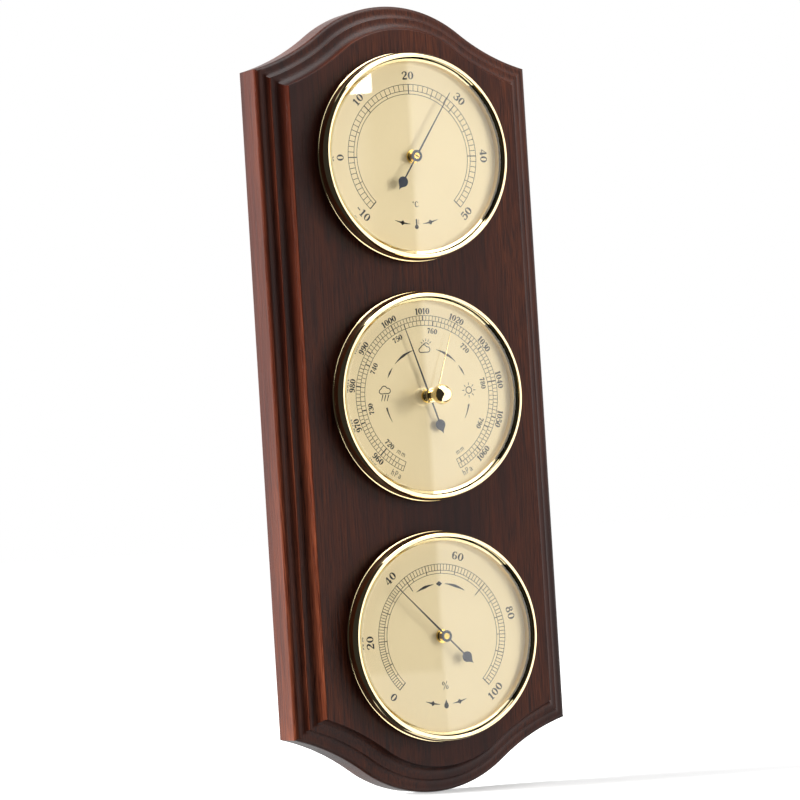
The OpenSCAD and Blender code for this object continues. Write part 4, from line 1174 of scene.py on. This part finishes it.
def humidity_turn(percent):
    low = min(int(percent // 10), 9)
    share = percent / 10 - low
    return HUMIDITY_TURNS[low] + (HUMIDITY_TURNS[low + 1] - HUMIDITY_TURNS[low]) * share


def sun(ink, x, y, size, start=0, end=360):
    """A plain weather sign: a sun, or the part of one between two angles"""
    steps = 24
    arcs = [(x + size * 0.42 * cos(radians(start + (end - start) * i / steps)),
             y + size * 0.42 * sin(radians(start + (end - start) * i / steps)), size * 0.12)
            for i in range(steps)]
    ink.ribbon(arcs, closed=end - start == 360)
    rays = 8 if end - start == 360 else 5
    for i in range(rays):
        a = radians(start + (end - start) * (i / rays if rays == 8 else (i + 0.5) / rays))
        ink.ribbon([(x + size * 0.66 * cos(a), y + size * 0.66 * sin(a), size * 0.13),
                    (x + size * cos(a), y + size * sin(a), size * 0.05)])


def cloud(ink, x, y, size):
    """A plain weather sign: a cloud in outline"""
    lobes = arc(x - size * 0.52, y - size * 0.08, size * 0.30, 270, 110, 8)
    lobes += arc(x - size * 0.08, y + size * 0.20, size * 0.40, 155, 30, 9)
    lobes += arc(x + size * 0.46, y - size * 0.02, size * 0.34, 95, -90, 9)
    ink.ribbon([(px, py, size * 0.12) for px, py in lobes], closed=True)


# Circles of the outer dials' numerals and of the signs at their feet
NUMERAL_R, SIGN_R = 40.0, 33.2
NUMERAL_STYLE = {"stretch": 1.28, "weight": 1.5}
# The barometer's scales end at this turn, and beyond the smaller one its numerals' tops point inward
BARO_END, BARO_INWARD_FROM = 156, 125
BARO_NUMERAL_R, MERCURY_NUMERAL_R, MERCURY_SIZE = 41.6, 32.0, 0.86
WEATHER_SIGN_R = 23.4


class WEATHER_OT_dials(bpy.types.Operator):
    """Builds the dial plates with their printed scales, numerals and signs"""
    bl_idname = "weather.dials"
    bl_label = "Dials"

    def execute(self, context):
        settings = context.scene.weather_dials
        self.numeral = settings.numeral_height / MM
        self.fine = settings.fine_numeral_height / MM
        for name in INSTRUMENTS:
            profile = [(DIAL_HOLE_R, DIAL_BACK), (DIAL_R, DIAL_BACK), (DIAL_R, DIAL_FACE),
                       (DIAL_HOLE_R, DIAL_FACE)]
            settle(f"{name}_dial_plate", lathe("dial", AXES[name], profile), "dial_gold",
                   nodes=[f"{name}_dial"])
        self.thermometer()
        self.barometer()
        self.hygrometer()
        return {"FINISHED"}

    def settle_print(self, name, ink):
        settle(f"{name}_dial_print", ink.mesh(name), "ink", slot="pointer_blue", even=False)

    def sign_with_bars(self, ink, radius, turn, reach):
        """Two tapered bars along a circle with a lozenge in each, and room for a sign between them"""
        for side in (-1, 1):
            ink.bend(radius, turn + side * 6, turn + side * reach, (0.15, 1.0, 0.15))
            a = radians(turn + side * (6 + reach) / 2)
            x, y, dx, dy = radius * sin(a), radius * cos(a), 1.3 * cos(a), -1.3 * sin(a)
            ink.ribbon([(x - dx, y - dy, 0.1), (x, y, 2.6), (x + dx, y + dy, 0.1)])

    def thermometer_sign(self, ink, x, y):
        """A plain sign: a bulb with its stem"""
        ink.ribbon([(x, y - 0.6, 0.8), (x, y + 2.3, 0.8), (x, y + 2.6, 0.5)])
        ink.ribbon([(x - 1.1, y - 1.3, 0.2), (x - 0.8, y - 1.3, 1.5), (x, y - 1.3, 2.2),
                    (x + 0.8, y - 1.3, 1.5), (x + 1.1, y - 1.3, 0.2)])
        for rise in (0.2, 1.1, 2.0):
            ink.ribbon([(x + 0.7, y + rise, 0.3), (x + 1.5, y + rise, 0.3)])

    def drop_sign(self, ink, x, y, size):
        """A plain sign: a drop of water"""
        ink.ribbon([(x, y + size, 0.1), (x, y + size * 0.4, size * 0.55), (x, y - size * 0.1, size * 1.05),
                    (x, y - size * 0.45, size * 1.15), (x, y - size * 0.75, size * 0.85),
                    (x, y - size * 0.95, size * 0.2)])

    def thermometer(self):
        outer, middle, inner = 35.6, 32.4, 30.8
        bold, plain, fine, past = 0.5, 0.32, 0.3, 0.1
        coldest, hottest = -10, 50
        marks = []
        for t in range(coldest, hottest + 1):
            turn = celsius_turn(t)
            if t in (coldest, hottest):
                marks.append((turn, inner - past, outer + past, bold))
            elif t % 10 == 0:
                marks.append((turn, inner, outer + past, bold))
            elif t % 5 == 0:
                marks.append((turn, inner, outer, plain))
            else:
                marks.append((turn, middle, outer, fine))
        print_marks("thermo", marks)
        ink = Print(AXES["thermo"])
        for radius in (outer, middle, inner):
            ink.bend(radius, celsius_turn(coldest), celsius_turn(hottest), (0.28, 0.28))
        for t in range(0, hottest, 10):
            ink.write(list(str(t)), NUMERAL_R, celsius_turn(t), self.numeral, **NUMERAL_STYLE)
        ends = ((coldest, celsius_turn(coldest) + 2), (hottest, celsius_turn(hottest)))
        for t, turn in ends:
            ink.write(list(str(t)), NUMERAL_R, turn, self.numeral, inward=True, **NUMERAL_STYLE)
        ink.write(["deg", "C"], 23.4, 180, 2.9, inward=True, stretch=1.1, weight=1.5)
        self.sign_with_bars(ink, SIGN_R, 180, 21)
        self.thermometer_sign(ink, 0, -SIGN_R)
        self.settle_print("thermo", ink)

    def barometer(self):
        outer, middle, inner = 39.4, 37.0, 34.6
        bold, plain, fine, past = 0.6, 0.32, 0.26, 0.1
        marks = []
        for p in range(953, 1068):
            width = bold if p % 10 == 0 else plain if p % 5 == 0 else fine
            more = past if p % 10 == 0 else 0
            marks.append((pressure_turn(p), middle - more, outer + more, width))
        for h in range(716, 801):
            if abs(mercury_turn(h)) <= BARO_END - 1:
                width, more = (bold, past) if h % 10 == 0 else (fine, 0)
                marks.append((mercury_turn(h), inner - more, middle, width))
        marks += [(turn, inner, outer, 0.28) for turn in (-BARO_END, BARO_END)]
        print_marks("baro", marks)
        ink = Print(AXES["baro"])
        for radius in (outer, middle, inner):
            ink.bend(radius, -BARO_END, BARO_END, (0.25, 0.25))
        for p in range(960, 1061, 10):
            turn = pressure_turn(p)
            ink.write(list(str(p)), BARO_NUMERAL_R, turn, self.fine, inward=abs(turn) > BARO_INWARD_FROM,
                      gap=0.07, stretch=1.08, weight=1.6)
        for h in range(720, 791, 10):
            turn = mercury_turn(h)
            ink.write(list(str(h)), MERCURY_NUMERAL_R, turn, self.fine * MERCURY_SIZE,
                      inward=abs(turn) > BARO_INWARD_FROM, gap=0.08, stretch=1.05, weight=1.6)
        for side in (-1, 1):
            ink.write(["h", "P", "a"], 42.2, side * 152, 3.0, inward=True, gap=0.14, weight=1.4)
            ink.write(["m", "m"], 31.6, side * 149, 2.7, inward=True, gap=0.16, weight=1.4)
        self.weather_signs(ink)
        self.settle_print("baro", ink)

    def weather_signs(self, ink):
        """Rain to the left, changeable on top and fair to the right, joined by tapered arcs"""
        radius = WEATHER_SIGN_R
        cloud(ink, -radius, 3.4, 3.8)
        for step in (-1.6, 0, 1.6):
            ink.ribbon([(-radius + step + 0.4, 1.4, 0.55), (-radius + step - 0.6, -1.6, 0.35)])
        sun(ink, 1.0, radius + 1.1, 3.6, 20, 160)
        cloud(ink, 0, radius - 0.6, 3.8)
        sun(ink, radius, 2.0, 3.8)
        for side in (-1, 1):
            ink.bend(radius, side * 16, side * 46, (0.2, 1.3, 0.2))
            ink.bend(radius, side * 52, side * 66, (0.2, 0.9, 0.2))
            ink.bend(radius, side * 102, side * 120, (0.9, 0.2))

    def hygrometer(self):
        outer, middle, inner = 35.2, 32.1, 30.6
        bold, firm, plain, fine, past = 0.5, 0.4, 0.3, 0.28, 0.1
        marks = []
        for p in range(0, 101):
            turn = humidity_turn(p)
            if p in (0, 100):
                marks.append((turn, inner - past, outer + past, bold))
            elif p % 10 == 0:
                marks.append((turn, inner, outer, firm))
            elif p % 5 == 0:
                marks.append((turn, inner, outer, plain))
            else:
                marks.append((turn, middle, outer, fine))
        marks += [(humidity_turn(p), 27.2, outer, 0.42) for p in (43, 70)]
        print_marks("hygro", marks)
        ink = Print(AXES["hygro"])
        for radius in (outer, middle, inner):
            ink.bend(radius, HUMIDITY_TURNS[0], HUMIDITY_TURNS[-1], (0.26, 0.26))
        for p in (20, 40, 60, 80, 0, 100):
            ink.write(list(str(p)), NUMERAL_R, humidity_turn(p), self.numeral, inward=p in (0, 100),
                      **NUMERAL_STYLE)
        ink.write(["%"], 24.0, 180, 4.0, inward=True, weight=1.5)
        self.sign_with_bars(ink, SIGN_R, 180, 20)
        self.drop_sign(ink, 0, -SIGN_R, 2.2)
        top_r = 25.6
        for start, end in ((-7, -30), (7, 33)):
            ink.bend(top_r, start, end, (0.2, 1.4, 0.2))
        ink.ribbon([(-1.7, top_r, 0.1), (0, top_r, 2.6), (1.7, top_r, 0.1)])
        self.settle_print("hygro", ink)


# Hands

POINTER_L, TAIL_L, SPADE_X, SPADE_R = 37.2, 19.8, 15.2, 2.6
HUB_R, HEAD_R, POINTER_T = 2.9, 1.5, 0.3
ARBOR_R, ARBOR_SINK = 0.75, 0.6
HEAD_RISE, HEAD_SLOT_W, HEAD_SLOT_DEPTH = 0.1, 0.36, 0.25
BOSS_BORE_R, BOSS_NUT_R, BOSS_COLLAR_R, BOSS_NECK_R, BOSS_COLLAR_H = 0.8, 3.5, 3.4, 2.0, 0.9
BOSS_EDGE_R, BOSS_FILLET_R, BOSS_CHAMFER = 0.25, 0.35, 0.15


def turned(outline, turn):
    """The outline turned clockwise by so many degrees"""
    a = -radians(turn)
    return [(x * cos(a) - y * sin(a), x * sin(a) + y * cos(a)) for x, y in outline]


def pointer_outline():
    """Tapered blade, round hub, thin tail and teardrop spade"""
    # Half widths, then the angle at which the spade turns into its tail and how fast that thins
    blade, tip, rod, tail = 0.45, 0.16, 0.36, 0.12
    neck, thinning, neck_steps = -48, 1.8, 8
    top = degrees(acos(blade / HUB_R))
    low = degrees(acos(rod / HUB_R))
    right = [(tip * 0.5, POINTER_L), (tip, POINTER_L - 0.3)]
    right += arc(0, 0, HUB_R, top, -low, 24)
    spade_top = degrees(acos(rod / SPADE_R))
    right += [(rod, -SPADE_X + sqrt(SPADE_R ** 2 - rod ** 2) + 0.3)]
    right += arc(0, -SPADE_X, SPADE_R, spade_top, neck, 18)
    neck_x, neck_y = SPADE_R * cos(radians(neck)), -SPADE_X + SPADE_R * sin(radians(neck))
    for i in range(1, neck_steps):
        s = i / neck_steps
        right.append((tail + (neck_x - tail) * (1 - s) ** thinning, neck_y - s * (TAIL_L - 0.1 + neck_y)))
    right.append((0.1, -TAIL_L + 0.1))
    return right + [(0, -TAIL_L)] + [(-x, y) for x, y in reversed(right)]


class WEATHER_OT_hands(bpy.types.Operator):
    """Builds the pointers with their bushes and arbor heads"""
    bl_idname = "weather.hands"
    bl_label = "Pointers"

    def execute(self, context):
        for name in INSTRUMENTS:
            self.pointer(name)
            self.boss(name)
        return {"FINISHED"}

    def pointer(self, name):
        axis, depth, turn = AXES[name], POINTER_D[name], REST_TURN[name]
        body = f"{name}_hand"
        back, front = depth - POINTER_T / 2, depth + POINTER_T / 2
        blade = plate("pointer", axis, [turned(pointer_outline(), turn), circle(0, 0, HEAD_R, 40)],
                      back, front, bevel=0.045, crease=50)
        settle(f"{name}_pointer_blade", blade, "pointer_blue", body=body, nodes=[f"{name}_pointer"])
        foot, crown = back - ARBOR_SINK, front + HEAD_RISE
        head = [(0, foot), (ARBOR_R, foot), (ARBOR_R, back), (HEAD_R, back), (HEAD_R, crown - 0.12),
                (HEAD_R - 0.1, crown - 0.03), (0.6, crown), (0, crown)]
        head_mesh = slotted(lathe("head", axis, head, steps=48, closed=False), axis, 0, 0, crown, HEAD_R,
                            HEAD_SLOT_W, HEAD_SLOT_DEPTH, direction=-1)
        swing = Matrix.Translation((0, 0, axis * MM)) @ Matrix.Rotation(radians(turn), 4, "Y") @ \
            Matrix.Translation((0, 0, -axis * MM))
        head_mesh.transform(swing)
        settle(f"{name}_arbor_head", head_mesh, "plain_brass", body=body)

    def boss(self, name):
        """The bush that carries the arbor: nut behind the dial, collar and neck in front of it"""
        node_low, node_high = box_mm(f"{name}_bush")
        foot, top = -node_high.y, -node_low.y
        collar, edge, fillet = DIAL_FACE + BOSS_COLLAR_H, BOSS_EDGE_R, BOSS_FILLET_R
        shape = [(BOSS_BORE_R, foot), (BOSS_NUT_R, foot), (BOSS_NUT_R, DIAL_BACK),
                 (DIAL_HOLE_R, DIAL_BACK), (DIAL_HOLE_R, DIAL_FACE), (BOSS_COLLAR_R - 0.1, DIAL_FACE),
                 (BOSS_COLLAR_R, DIAL_FACE + 0.1), (BOSS_COLLAR_R, collar - edge)]
        shape += arc(BOSS_COLLAR_R - edge, collar - edge, edge, 20, 90, 4)
        shape += [(BOSS_NECK_R + fillet * (1 - sin(a)), collar + fillet * (1 - cos(a)))
                  for a in map(radians, (0, 30, 60, 90))]
        shape += [(BOSS_NECK_R, top - BOSS_CHAMFER), (BOSS_NECK_R - BOSS_CHAMFER, top), (BOSS_BORE_R, top)]
        settle(f"{name}_boss", lathe("boss", AXES[name], shape, steps=SMALL_LATHE_STEPS), "plain_brass",
               nodes=[f"{name}_bush"])


# Set hand: hub and bore, then the blade's half width at its root and what it loses by the tip,
# where its sides start and end, its tip, and how far the tip dips
SET_HUB_R, SET_BORE_R, SET_ROOT, SET_TAPER = 2.6, 1.5, 0.4, 0.28
SET_BLADE_FROM, SET_BLADE_TO, SET_TIP, SET_DIP = 3, 31.6, 32, 0.9
SET_STEPS = 12
KNOB_STEM_R, KNOB_NECK_R = 1.5, 1.9


class WEATHER_OT_set_hand(bpy.types.Operator):
    """Builds the set hand, its knob and the bush through the glass"""
    bl_idname = "weather.set_hand"
    bl_label = "Set hand"

    def execute(self, context):
        self.blade(AXES["baro"])
        self.knob(AXES["baro"])
        self.bush(AXES["baro"])
        return {"FINISHED"}

    def blade(self, axis):
        """A hub and a tapered blade that dips towards the glass at its tip"""
        low, high = box_mm("set_hand")
        half_t = (high.y - low.y) / 2
        meet = degrees(acos(SET_ROOT / SET_HUB_R))
        rim = arc(0, 0, SET_HUB_R, 180 - meet, 360 + meet, 40)
        side = [(SET_ROOT - SET_TAPER * i / SET_STEPS,
                 SET_BLADE_FROM + (SET_BLADE_TO - SET_BLADE_FROM) * i / SET_STEPS)
                for i in range(SET_STEPS + 1)]
        outline = rim + side + [(0, SET_TIP)] + [(-x, y) for x, y in reversed(side)]
        mesh = plate("set_hand", axis, [turned(outline, SET_TURN), circle(0, 0, SET_BORE_R, 32)],
                     SET_HAND_D - half_t, SET_HAND_D + half_t, bevel=0.08, crease=50)
        for vertex in mesh.vertices:
            reach = hypot(vertex.co.x / MM, vertex.co.z / MM - axis)
            share = max(0, (reach - SET_BLADE_FROM) / (SET_TIP - SET_BLADE_FROM))
            vertex.co.y += SET_DIP * MM * share ** 2
        settle("set_hand_blade", mesh, "set_hand_gold", body="marker_hand", nodes=["set_hand"],
               slot="bezel_brass")

    def knob(self, axis):
        """A ball on a stem, with a foot at its back end and a collar in front of the hand"""
        low, high = box_mm("set_knob")
        knob_r = (high.x - low.x) / 2
        centre = KNOB_FRONT - knob_r
        stem, back = KNOB_STEM_R, -high.y
        profile = [(0, back), (2.2, back), (2.2, back + 0.55), (stem, back + 0.55)]
        profile += [(stem, SET_HAND_D + 0.25), (2.3, SET_HAND_D + 0.3), (2.3, SET_HAND_D + 0.55),
                    (1.7, SET_HAND_D + 0.7)]
        start = degrees(asin(KNOB_NECK_R / knob_r)) - 90
        profile += arc(0, centre, knob_r, start, 88, 44) + [(0, centre + knob_r)]
        settle("set_knob_ball", lathe("knob", axis, profile, steps=128, closed=False, crease=40),
               "bezel_brass", body="marker_hand", nodes=["set_knob"])

    def bush(self, axis):
        """The collar that holds the stem in the glass"""
        low, high = box_mm("set_bush")
        foot, top = -high.y, -low.y
        bore, shank = 1.55, 2.4
        collar = [(bore, foot), (3.4, foot), (3.4, GLASS_BACK), (shank, GLASS_BACK), (shank, GLASS_FRONT),
                  (3.4, GLASS_FRONT), (3.5, GLASS_FRONT + 0.1), (3.5, GLASS_FRONT + 0.4),
                  (3.3, GLASS_FRONT + 0.6), (shank + 0.2, GLASS_FRONT + 0.65), (shank, GLASS_FRONT + 0.9),
                  (shank, top - 0.15), (shank - 0.15, top), (bore, top)]
        settle("set_hand_bush", lathe("collar", axis, collar, steps=SMALL_LATHE_STEPS), "bezel_brass",
               nodes=["set_bush"])


# The leaf spring's clamped foot is this long, and doesn't bend
LEAF_FOOT = 10


class WEATHER_OT_movements(bpy.types.Operator):
    """Gives the carried-over parts their finishes, and makes bending copies of those that cross a joint"""
    bl_idname = "weather.movements"
    bl_label = "Movements"

    def execute(self, context):
        slots = {entry["node"]: entry["material_slot"] for entry in frame["record"]["subparts"]}
        for node, thing in frame["nodes"].items():
            finish = material(slots[node])
            thing.data.materials.clear()
            thing.data.materials.append(finish)
        self.link("thermo_coil", "zero_arm", slots, lambda low, high: (
            Vector((0, low.y, AXES["thermo"])), Vector((0, low.y, high.z))))
        self.link("baro_chain", "rocking_shaft", slots, lambda low, high: (
            low, Vector((high.x, low.y, low.z))))
        self.link("baro_spring", "capsule_stud", slots, lambda low, high: (
            Vector((low.x + LEAF_FOOT, low.y, low.z)), Vector((0, low.y, low.z))))
        self.link("baro_capsule", "capsule_stud", slots, lambda low, high: (
            high, Vector((high.x, low.y, high.z))))
        return {"FINISHED"}

    def link(self, node, body, slots, ends):
        """A copy of a spring or link, still on the frame at one end and going with a body at the other"""
        mesh = frame["nodes"][node].data.copy()
        clean(mesh, WELD, outward=False)
        piece = settle(f"{node}_bending", mesh, slots[node], body=None, nodes=[node], even=False)
        start, end = ends(*box_mm(node))
        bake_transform(piece)


# Stage

# The camera stands where the photograph's view is met: below and to the left, leaning a little
CAMERA_PLACE = (-950.24, -1750.97, -237.27)
CAMERA_AZIMUTH, CAMERA_ELEVATION, CAMERA_ROLL = radians(-28.548), radians(-1.754), radians(-3.541)
SENSOR_WIDTH = 36.0
# Half the floor's side in metres, and its gap below the part in millimetres
FLOOR_HALF, FLOOR_GAP = 30.0, 0.3
# The floor's own light to the camera grows between these distances, in metres, from near to far; the weaker
# glow near the part is a painted shade round its foot
GLOW_FROM, GLOW_TO, GLOW_NEAR, GLOW_FAR = 0.25, 0.60, 0.45, 2.0


def camera_matrix():
    az, el, roll = CAMERA_AZIMUTH, CAMERA_ELEVATION, CAMERA_ROLL
    back = Vector((sin(az) * cos(el), -cos(az) * cos(el), sin(el)))
    right = Vector((0, 0, 1)).cross(back).normalized()
    up = back.cross(right)
    level, tilted = cos(roll) * right + sin(roll) * up, -sin(roll) * right + cos(roll) * up
    rows = Matrix((level, tilted, back)).transposed().to_4x4()
    rows.translation = Vector(CAMERA_PLACE) * MM
    return rows


def softbox(name, azimuth, elevation, distance, width, height, power):
    """A soft lamp aimed at the middle of the part; azimuth 0 is straight in front, lengths in metres"""
    az, el = radians(azimuth), radians(elevation)
    aim = Vector((0, 0, AXES["baro"] * MM))
    out = Vector((sin(az) * cos(el), -cos(az) * cos(el), sin(el)))
    lamp = bpy.data.lights.new(name, "AREA")
    lamp.shape = "RECTANGLE"
    lamp.size, lamp.size_y = width, height
    lamp.energy = power
    thing = loose_object(name, lamp)
    facing = out.to_track_quat("Z", "Y").to_matrix().to_4x4()
    thing.matrix_world = Matrix.Translation(aim + out * distance) @ facing
    return thing


def panel_group():
    """A bright panel of the studio, as seen in polished metal and glass"""
    group, given, result = shader_group(
        "Studio panel",
        [("Azimuth", "NodeSocketFloat", 0.0), ("Elevation", "NodeSocketFloat", 0.0),
         ("Middle Azimuth", "NodeSocketFloat", 0.0), ("Middle Elevation", "NodeSocketFloat", 0.0),
         ("Half Width", "NodeSocketFloat", 0.3), ("Half Height", "NodeSocketFloat", 0.3),
         ("Softness", "NodeSocketFloat", 0.02), ("Lean", "NodeSocketFloat", 0.0)],
        [("Mask", "NodeSocketFloat")])
    height = add(group, "ShaderNodeMath", {0: given.outputs["Elevation"]}, operation="ABSOLUTE")
    leaning = add(group, "ShaderNodeMath", {0: height.outputs[0], 1: given.outputs["Lean"],
                                            2: given.outputs["Azimuth"]}, operation="MULTIPLY_ADD")
    masks = []
    for angle, middle, half in ((leaning.outputs[0], "Middle Azimuth", "Half Width"),
                                (given.outputs["Elevation"], "Middle Elevation", "Half Height")):
        off = add(group, "ShaderNodeMath", {0: angle, 1: given.outputs[middle]}, operation="SUBTRACT")
        far = add(group, "ShaderNodeMath", {0: off.outputs[0]}, operation="ABSOLUTE")
        room = add(group, "ShaderNodeMath", {0: given.outputs[half], 1: far.outputs[0]},
                   operation="SUBTRACT")
        scaled = add(group, "ShaderNodeMath", {0: room.outputs[0], 1: given.outputs["Softness"]},
                     operation="DIVIDE", use_clamp=True)
        masks.append(scaled.outputs[0])
    both = add(group, "ShaderNodeMath", {0: masks[0], 1: masks[1]}, operation="MULTIPLY")
    group.links.new(both.outputs[0], result.inputs["Mask"])
    return group


# Panels seen in polished surfaces: middle azimuth, middle elevation, half width, half height,
# softness and lean, with angles in degrees, and brightness. A leaning panel's sides move to the
# left by that share of the height above or below the horizon.
PANELS = (
    (180, 0, 48, 92, 4, 0, 1.05),
    (-180, 0, 45, 50, 4, 0, 1.6),
    (56.25, 49.5, 55.75, 40.5, 0.1, 0.53, 2.0),
    (56.25, -47.5, 55.75, 42.5, 0.1, 0.53, 2.0),
    (13.5, 2, 13, 7.2, 0.05, 0.53, 2.0),
    (71.5, 2, 40.5, 7.2, 0.05, 0, 2.0),
    (46.9, 0, 18, 50, 0.08, 0, 1.7),
    (27.5, 6.3, 0.95, 3, 0.3, 0, 0.7),
    (28.5, -3.6, 2.5, 1.54, 0.1, 0, 0.8),
    (27.6, 6.95, 0.83, 0.83, 0.06, 0, 24.0),
)
# What polished surfaces see beside the panels, then the light on all other surfaces from above and
# from below the horizon
DARK_STUDIO = 0.03
ROOM_LIGHT, FLOOR_LIGHT = 0.06, 1.0


def make_world():
    """White to the camera, a lit studio in polished surfaces, and even soft light on the rest"""
    world = bpy.data.worlds.new("Studio")
    world.use_nodes = True
    tree = world.node_tree
    tree.nodes.clear()
    place = add(tree, "ShaderNodeTexCoord").outputs["Generated"]
    ways = add(tree, "ShaderNodeSeparateXYZ", {0: place})
    forward = add(tree, "ShaderNodeMath", {0: ways.outputs["Y"], 1: -1.0}, operation="MULTIPLY")
    azimuth = add(tree, "ShaderNodeMath", {0: ways.outputs["X"], 1: forward.outputs[0]},
                  operation="ARCTAN2").outputs[0]
    elevation = add(tree, "ShaderNodeMath", {0: ways.outputs["Z"]}, operation="ARCSINE").outputs[0]
    group = panel_group()
    total = DARK_STUDIO
    for middle_az, middle_el, half_w, half_h, soft, lean, bright in PANELS:
        panel = add(tree, "ShaderNodeGroup", {
            "Azimuth": azimuth, "Elevation": elevation, "Middle Azimuth": radians(middle_az),
            "Middle Elevation": radians(middle_el), "Half Width": radians(half_w),
            "Half Height": radians(half_h), "Softness": radians(soft), "Lean": lean}, node_tree=group)
        lit = add(tree, "ShaderNodeMath", {0: panel.outputs["Mask"], 1: bright}, operation="MULTIPLY")
        total = add(tree, "ShaderNodeMath", {0: lit.outputs[0], 1: total}, operation="MAXIMUM").outputs[0]
    path = add(tree, "ShaderNodeLightPath")
    mirrored = add(tree, "ShaderNodeMath",
                   {0: path.outputs["Is Glossy Ray"], 1: path.outputs["Is Transmission Ray"]},
                   operation="MAXIMUM")
    below = add(tree, "ShaderNodeMapRange", {"Value": elevation, "From Min": 0.1, "From Max": -0.3,
                                             "To Min": ROOM_LIGHT, "To Max": FLOOR_LIGHT})
    polished = add(tree, "ShaderNodeMix", {0: mirrored.outputs[0], 2: below.outputs[0], 3: total})
    strength = add(tree, "ShaderNodeMix",
                   {0: path.outputs["Is Camera Ray"], 2: polished.outputs[0], 3: 1.0})
    background = add(tree, "ShaderNodeBackground", {"Color": (1, 1, 1, 1), "Strength": strength.outputs[0]})
    output = add(tree, "ShaderNodeOutputWorld", {"Surface": background.outputs[0]})
    output.is_active_output = True
    bpy.context.scene.world = world


def floor_material(tone):
    """Pale floor that looks white to the camera and keeps the part's shadow"""
    floor = bpy.data.materials.new("Studio floor")
    floor.use_nodes = True
    tree = floor.node_tree
    shader = tree.nodes["Principled BSDF"]
    shader.inputs["Base Color"].default_value = (*tone, 1)
    shader.inputs["Roughness"].default_value = 0.9
    shader.inputs["Specular IOR Level"].default_value = 0.0
    place = add(tree, "ShaderNodeTexCoord").outputs["Object"]
    away = add(tree, "ShaderNodeVectorMath", {0: place}, operation="LENGTH")
    # Weaker glow near the part: painted shade round its foot
    strength = add(tree, "ShaderNodeMapRange", {
        "Value": away.outputs["Value"], "From Min": GLOW_FROM, "From Max": GLOW_TO,
        "To Min": GLOW_NEAR, "To Max": GLOW_FAR})
    glow = add(tree, "ShaderNodeEmission", {"Color": (1, 1, 1, 1), "Strength": strength.outputs[0]})
    path = add(tree, "ShaderNodeLightPath")
    seen = add(tree, "ShaderNodeMath", {0: path.outputs["Is Camera Ray"], 1: path.outputs["Is Glossy Ray"]},
               operation="MAXIMUM")
    share = add(tree, "ShaderNodeMath", {0: seen.outputs[0], 1: 0.5}, operation="MULTIPLY")
    mix = add(tree, "ShaderNodeMixShader", {0: share.outputs[0], 1: shader.outputs[0], 2: glow.outputs[0]})
    tree.links.new(mix.outputs[0], tree.nodes["Material Output"].inputs["Surface"])
    return floor


class WEATHER_OT_stage(bpy.types.Operator):
    """Builds the floor, the lamps and the camera"""
    bl_idname = "weather.stage"
    bl_label = "Stage"

    def execute(self, context):
        settings = context.scene.weather_studio
        scene = context.scene
        scene.view_settings.view_transform = "Standard"
        make_world()
        size, level = FLOOR_HALF, CAD_BOX[0][2] - FLOOR_GAP * MM
        corners = [(-size, -size, level), (size, -size, level), (size, size, level), (-size, size, level)]
        mesh = bpy.data.meshes.new("studio_floor")
        mesh.from_pydata(corners, [], [(0, 1, 2, 3)])
        mesh.materials.append(floor_material(settings.floor_colour))
        floor = loose_object("studio_floor", mesh)
        key = softbox("Key softbox", azimuth=41, elevation=9, distance=1.6, width=0.36, height=0.5,
                      power=settings.key_power)
        side = softbox("Side softbox", azimuth=-113, elevation=14, distance=1.5, width=0.6, height=0.8,
                       power=settings.side_power)
        # The world's panels stand for these in polished surfaces
        for thing in (key, side, floor):
            thing.visible_glossy = thing.visible_transmission = False
        floor.visible_diffuse = False
        softbox("Top softbox", azimuth=20, elevation=78, distance=1.3, width=1.2, height=0.9,
                power=settings.top_power)
        lens = bpy.data.cameras.new("Camera")
        lens.lens = settings.lens
        lens.sensor_width = SENSOR_WIDTH
        lens.clip_start, lens.clip_end = 0.05, 100
        camera = loose_object("Camera", lens)
        camera.matrix_world = camera_matrix()
        scene.camera = camera
        return {"FINISHED"}


# Panel and registration

OPERATORS = (WEATHER_OT_movements, WEATHER_OT_board, WEATHER_OT_hanger, WEATHER_OT_cases,
             WEATHER_OT_bezels, WEATHER_OT_dials, WEATHER_OT_hands, WEATHER_OT_set_hand,
             WEATHER_OT_stage)
SETTINGS = {"weather_board": BoardSettings, "weather_dials": DialSettings,
            "weather_metals": MetalSettings, "weather_studio": StudioSettings}


class WEATHER_PT_panel(bpy.types.Panel):
    """Lists the settings and the steps that build the weather station"""
    bl_idname = "WEATHER_PT_panel"
    bl_label = "Weather station"
    bl_space_type = "VIEW_3D"
    bl_region_type = "UI"
    bl_category = "Weather"

    def draw(self, context):
        for key in SETTINGS:
            group = getattr(context.scene, key)
            column = self.layout.column(heading=SETTINGS[key].__doc__)
            for field in group.bl_rna.properties:
                if field.identifier not in ("rna_type", "name"):
                    column.prop(group, field.identifier)
        for operator in OPERATORS:
            self.layout.operator(operator.bl_idname)


def register():
    for kind in (*SETTINGS.values(), *OPERATORS, WEATHER_PT_panel):
        bpy.utils.register_class(kind)
    for key, kind in SETTINGS.items():
        setattr(bpy.types.Scene, key, bpy.props.PointerProperty(type=kind))


def unregister():
    for key in SETTINGS:
        delattr(bpy.types.Scene, key)
    for kind in reversed((*SETTINGS.values(), *OPERATORS, WEATHER_PT_panel)):
        bpy.utils.unregister_class(kind)


def main():
    register()
    for operator in OPERATORS:
        group, name = operator.bl_idname.split(".")
        getattr(getattr(bpy.ops, group), name)()


if __name__ == "__main__":
    main()
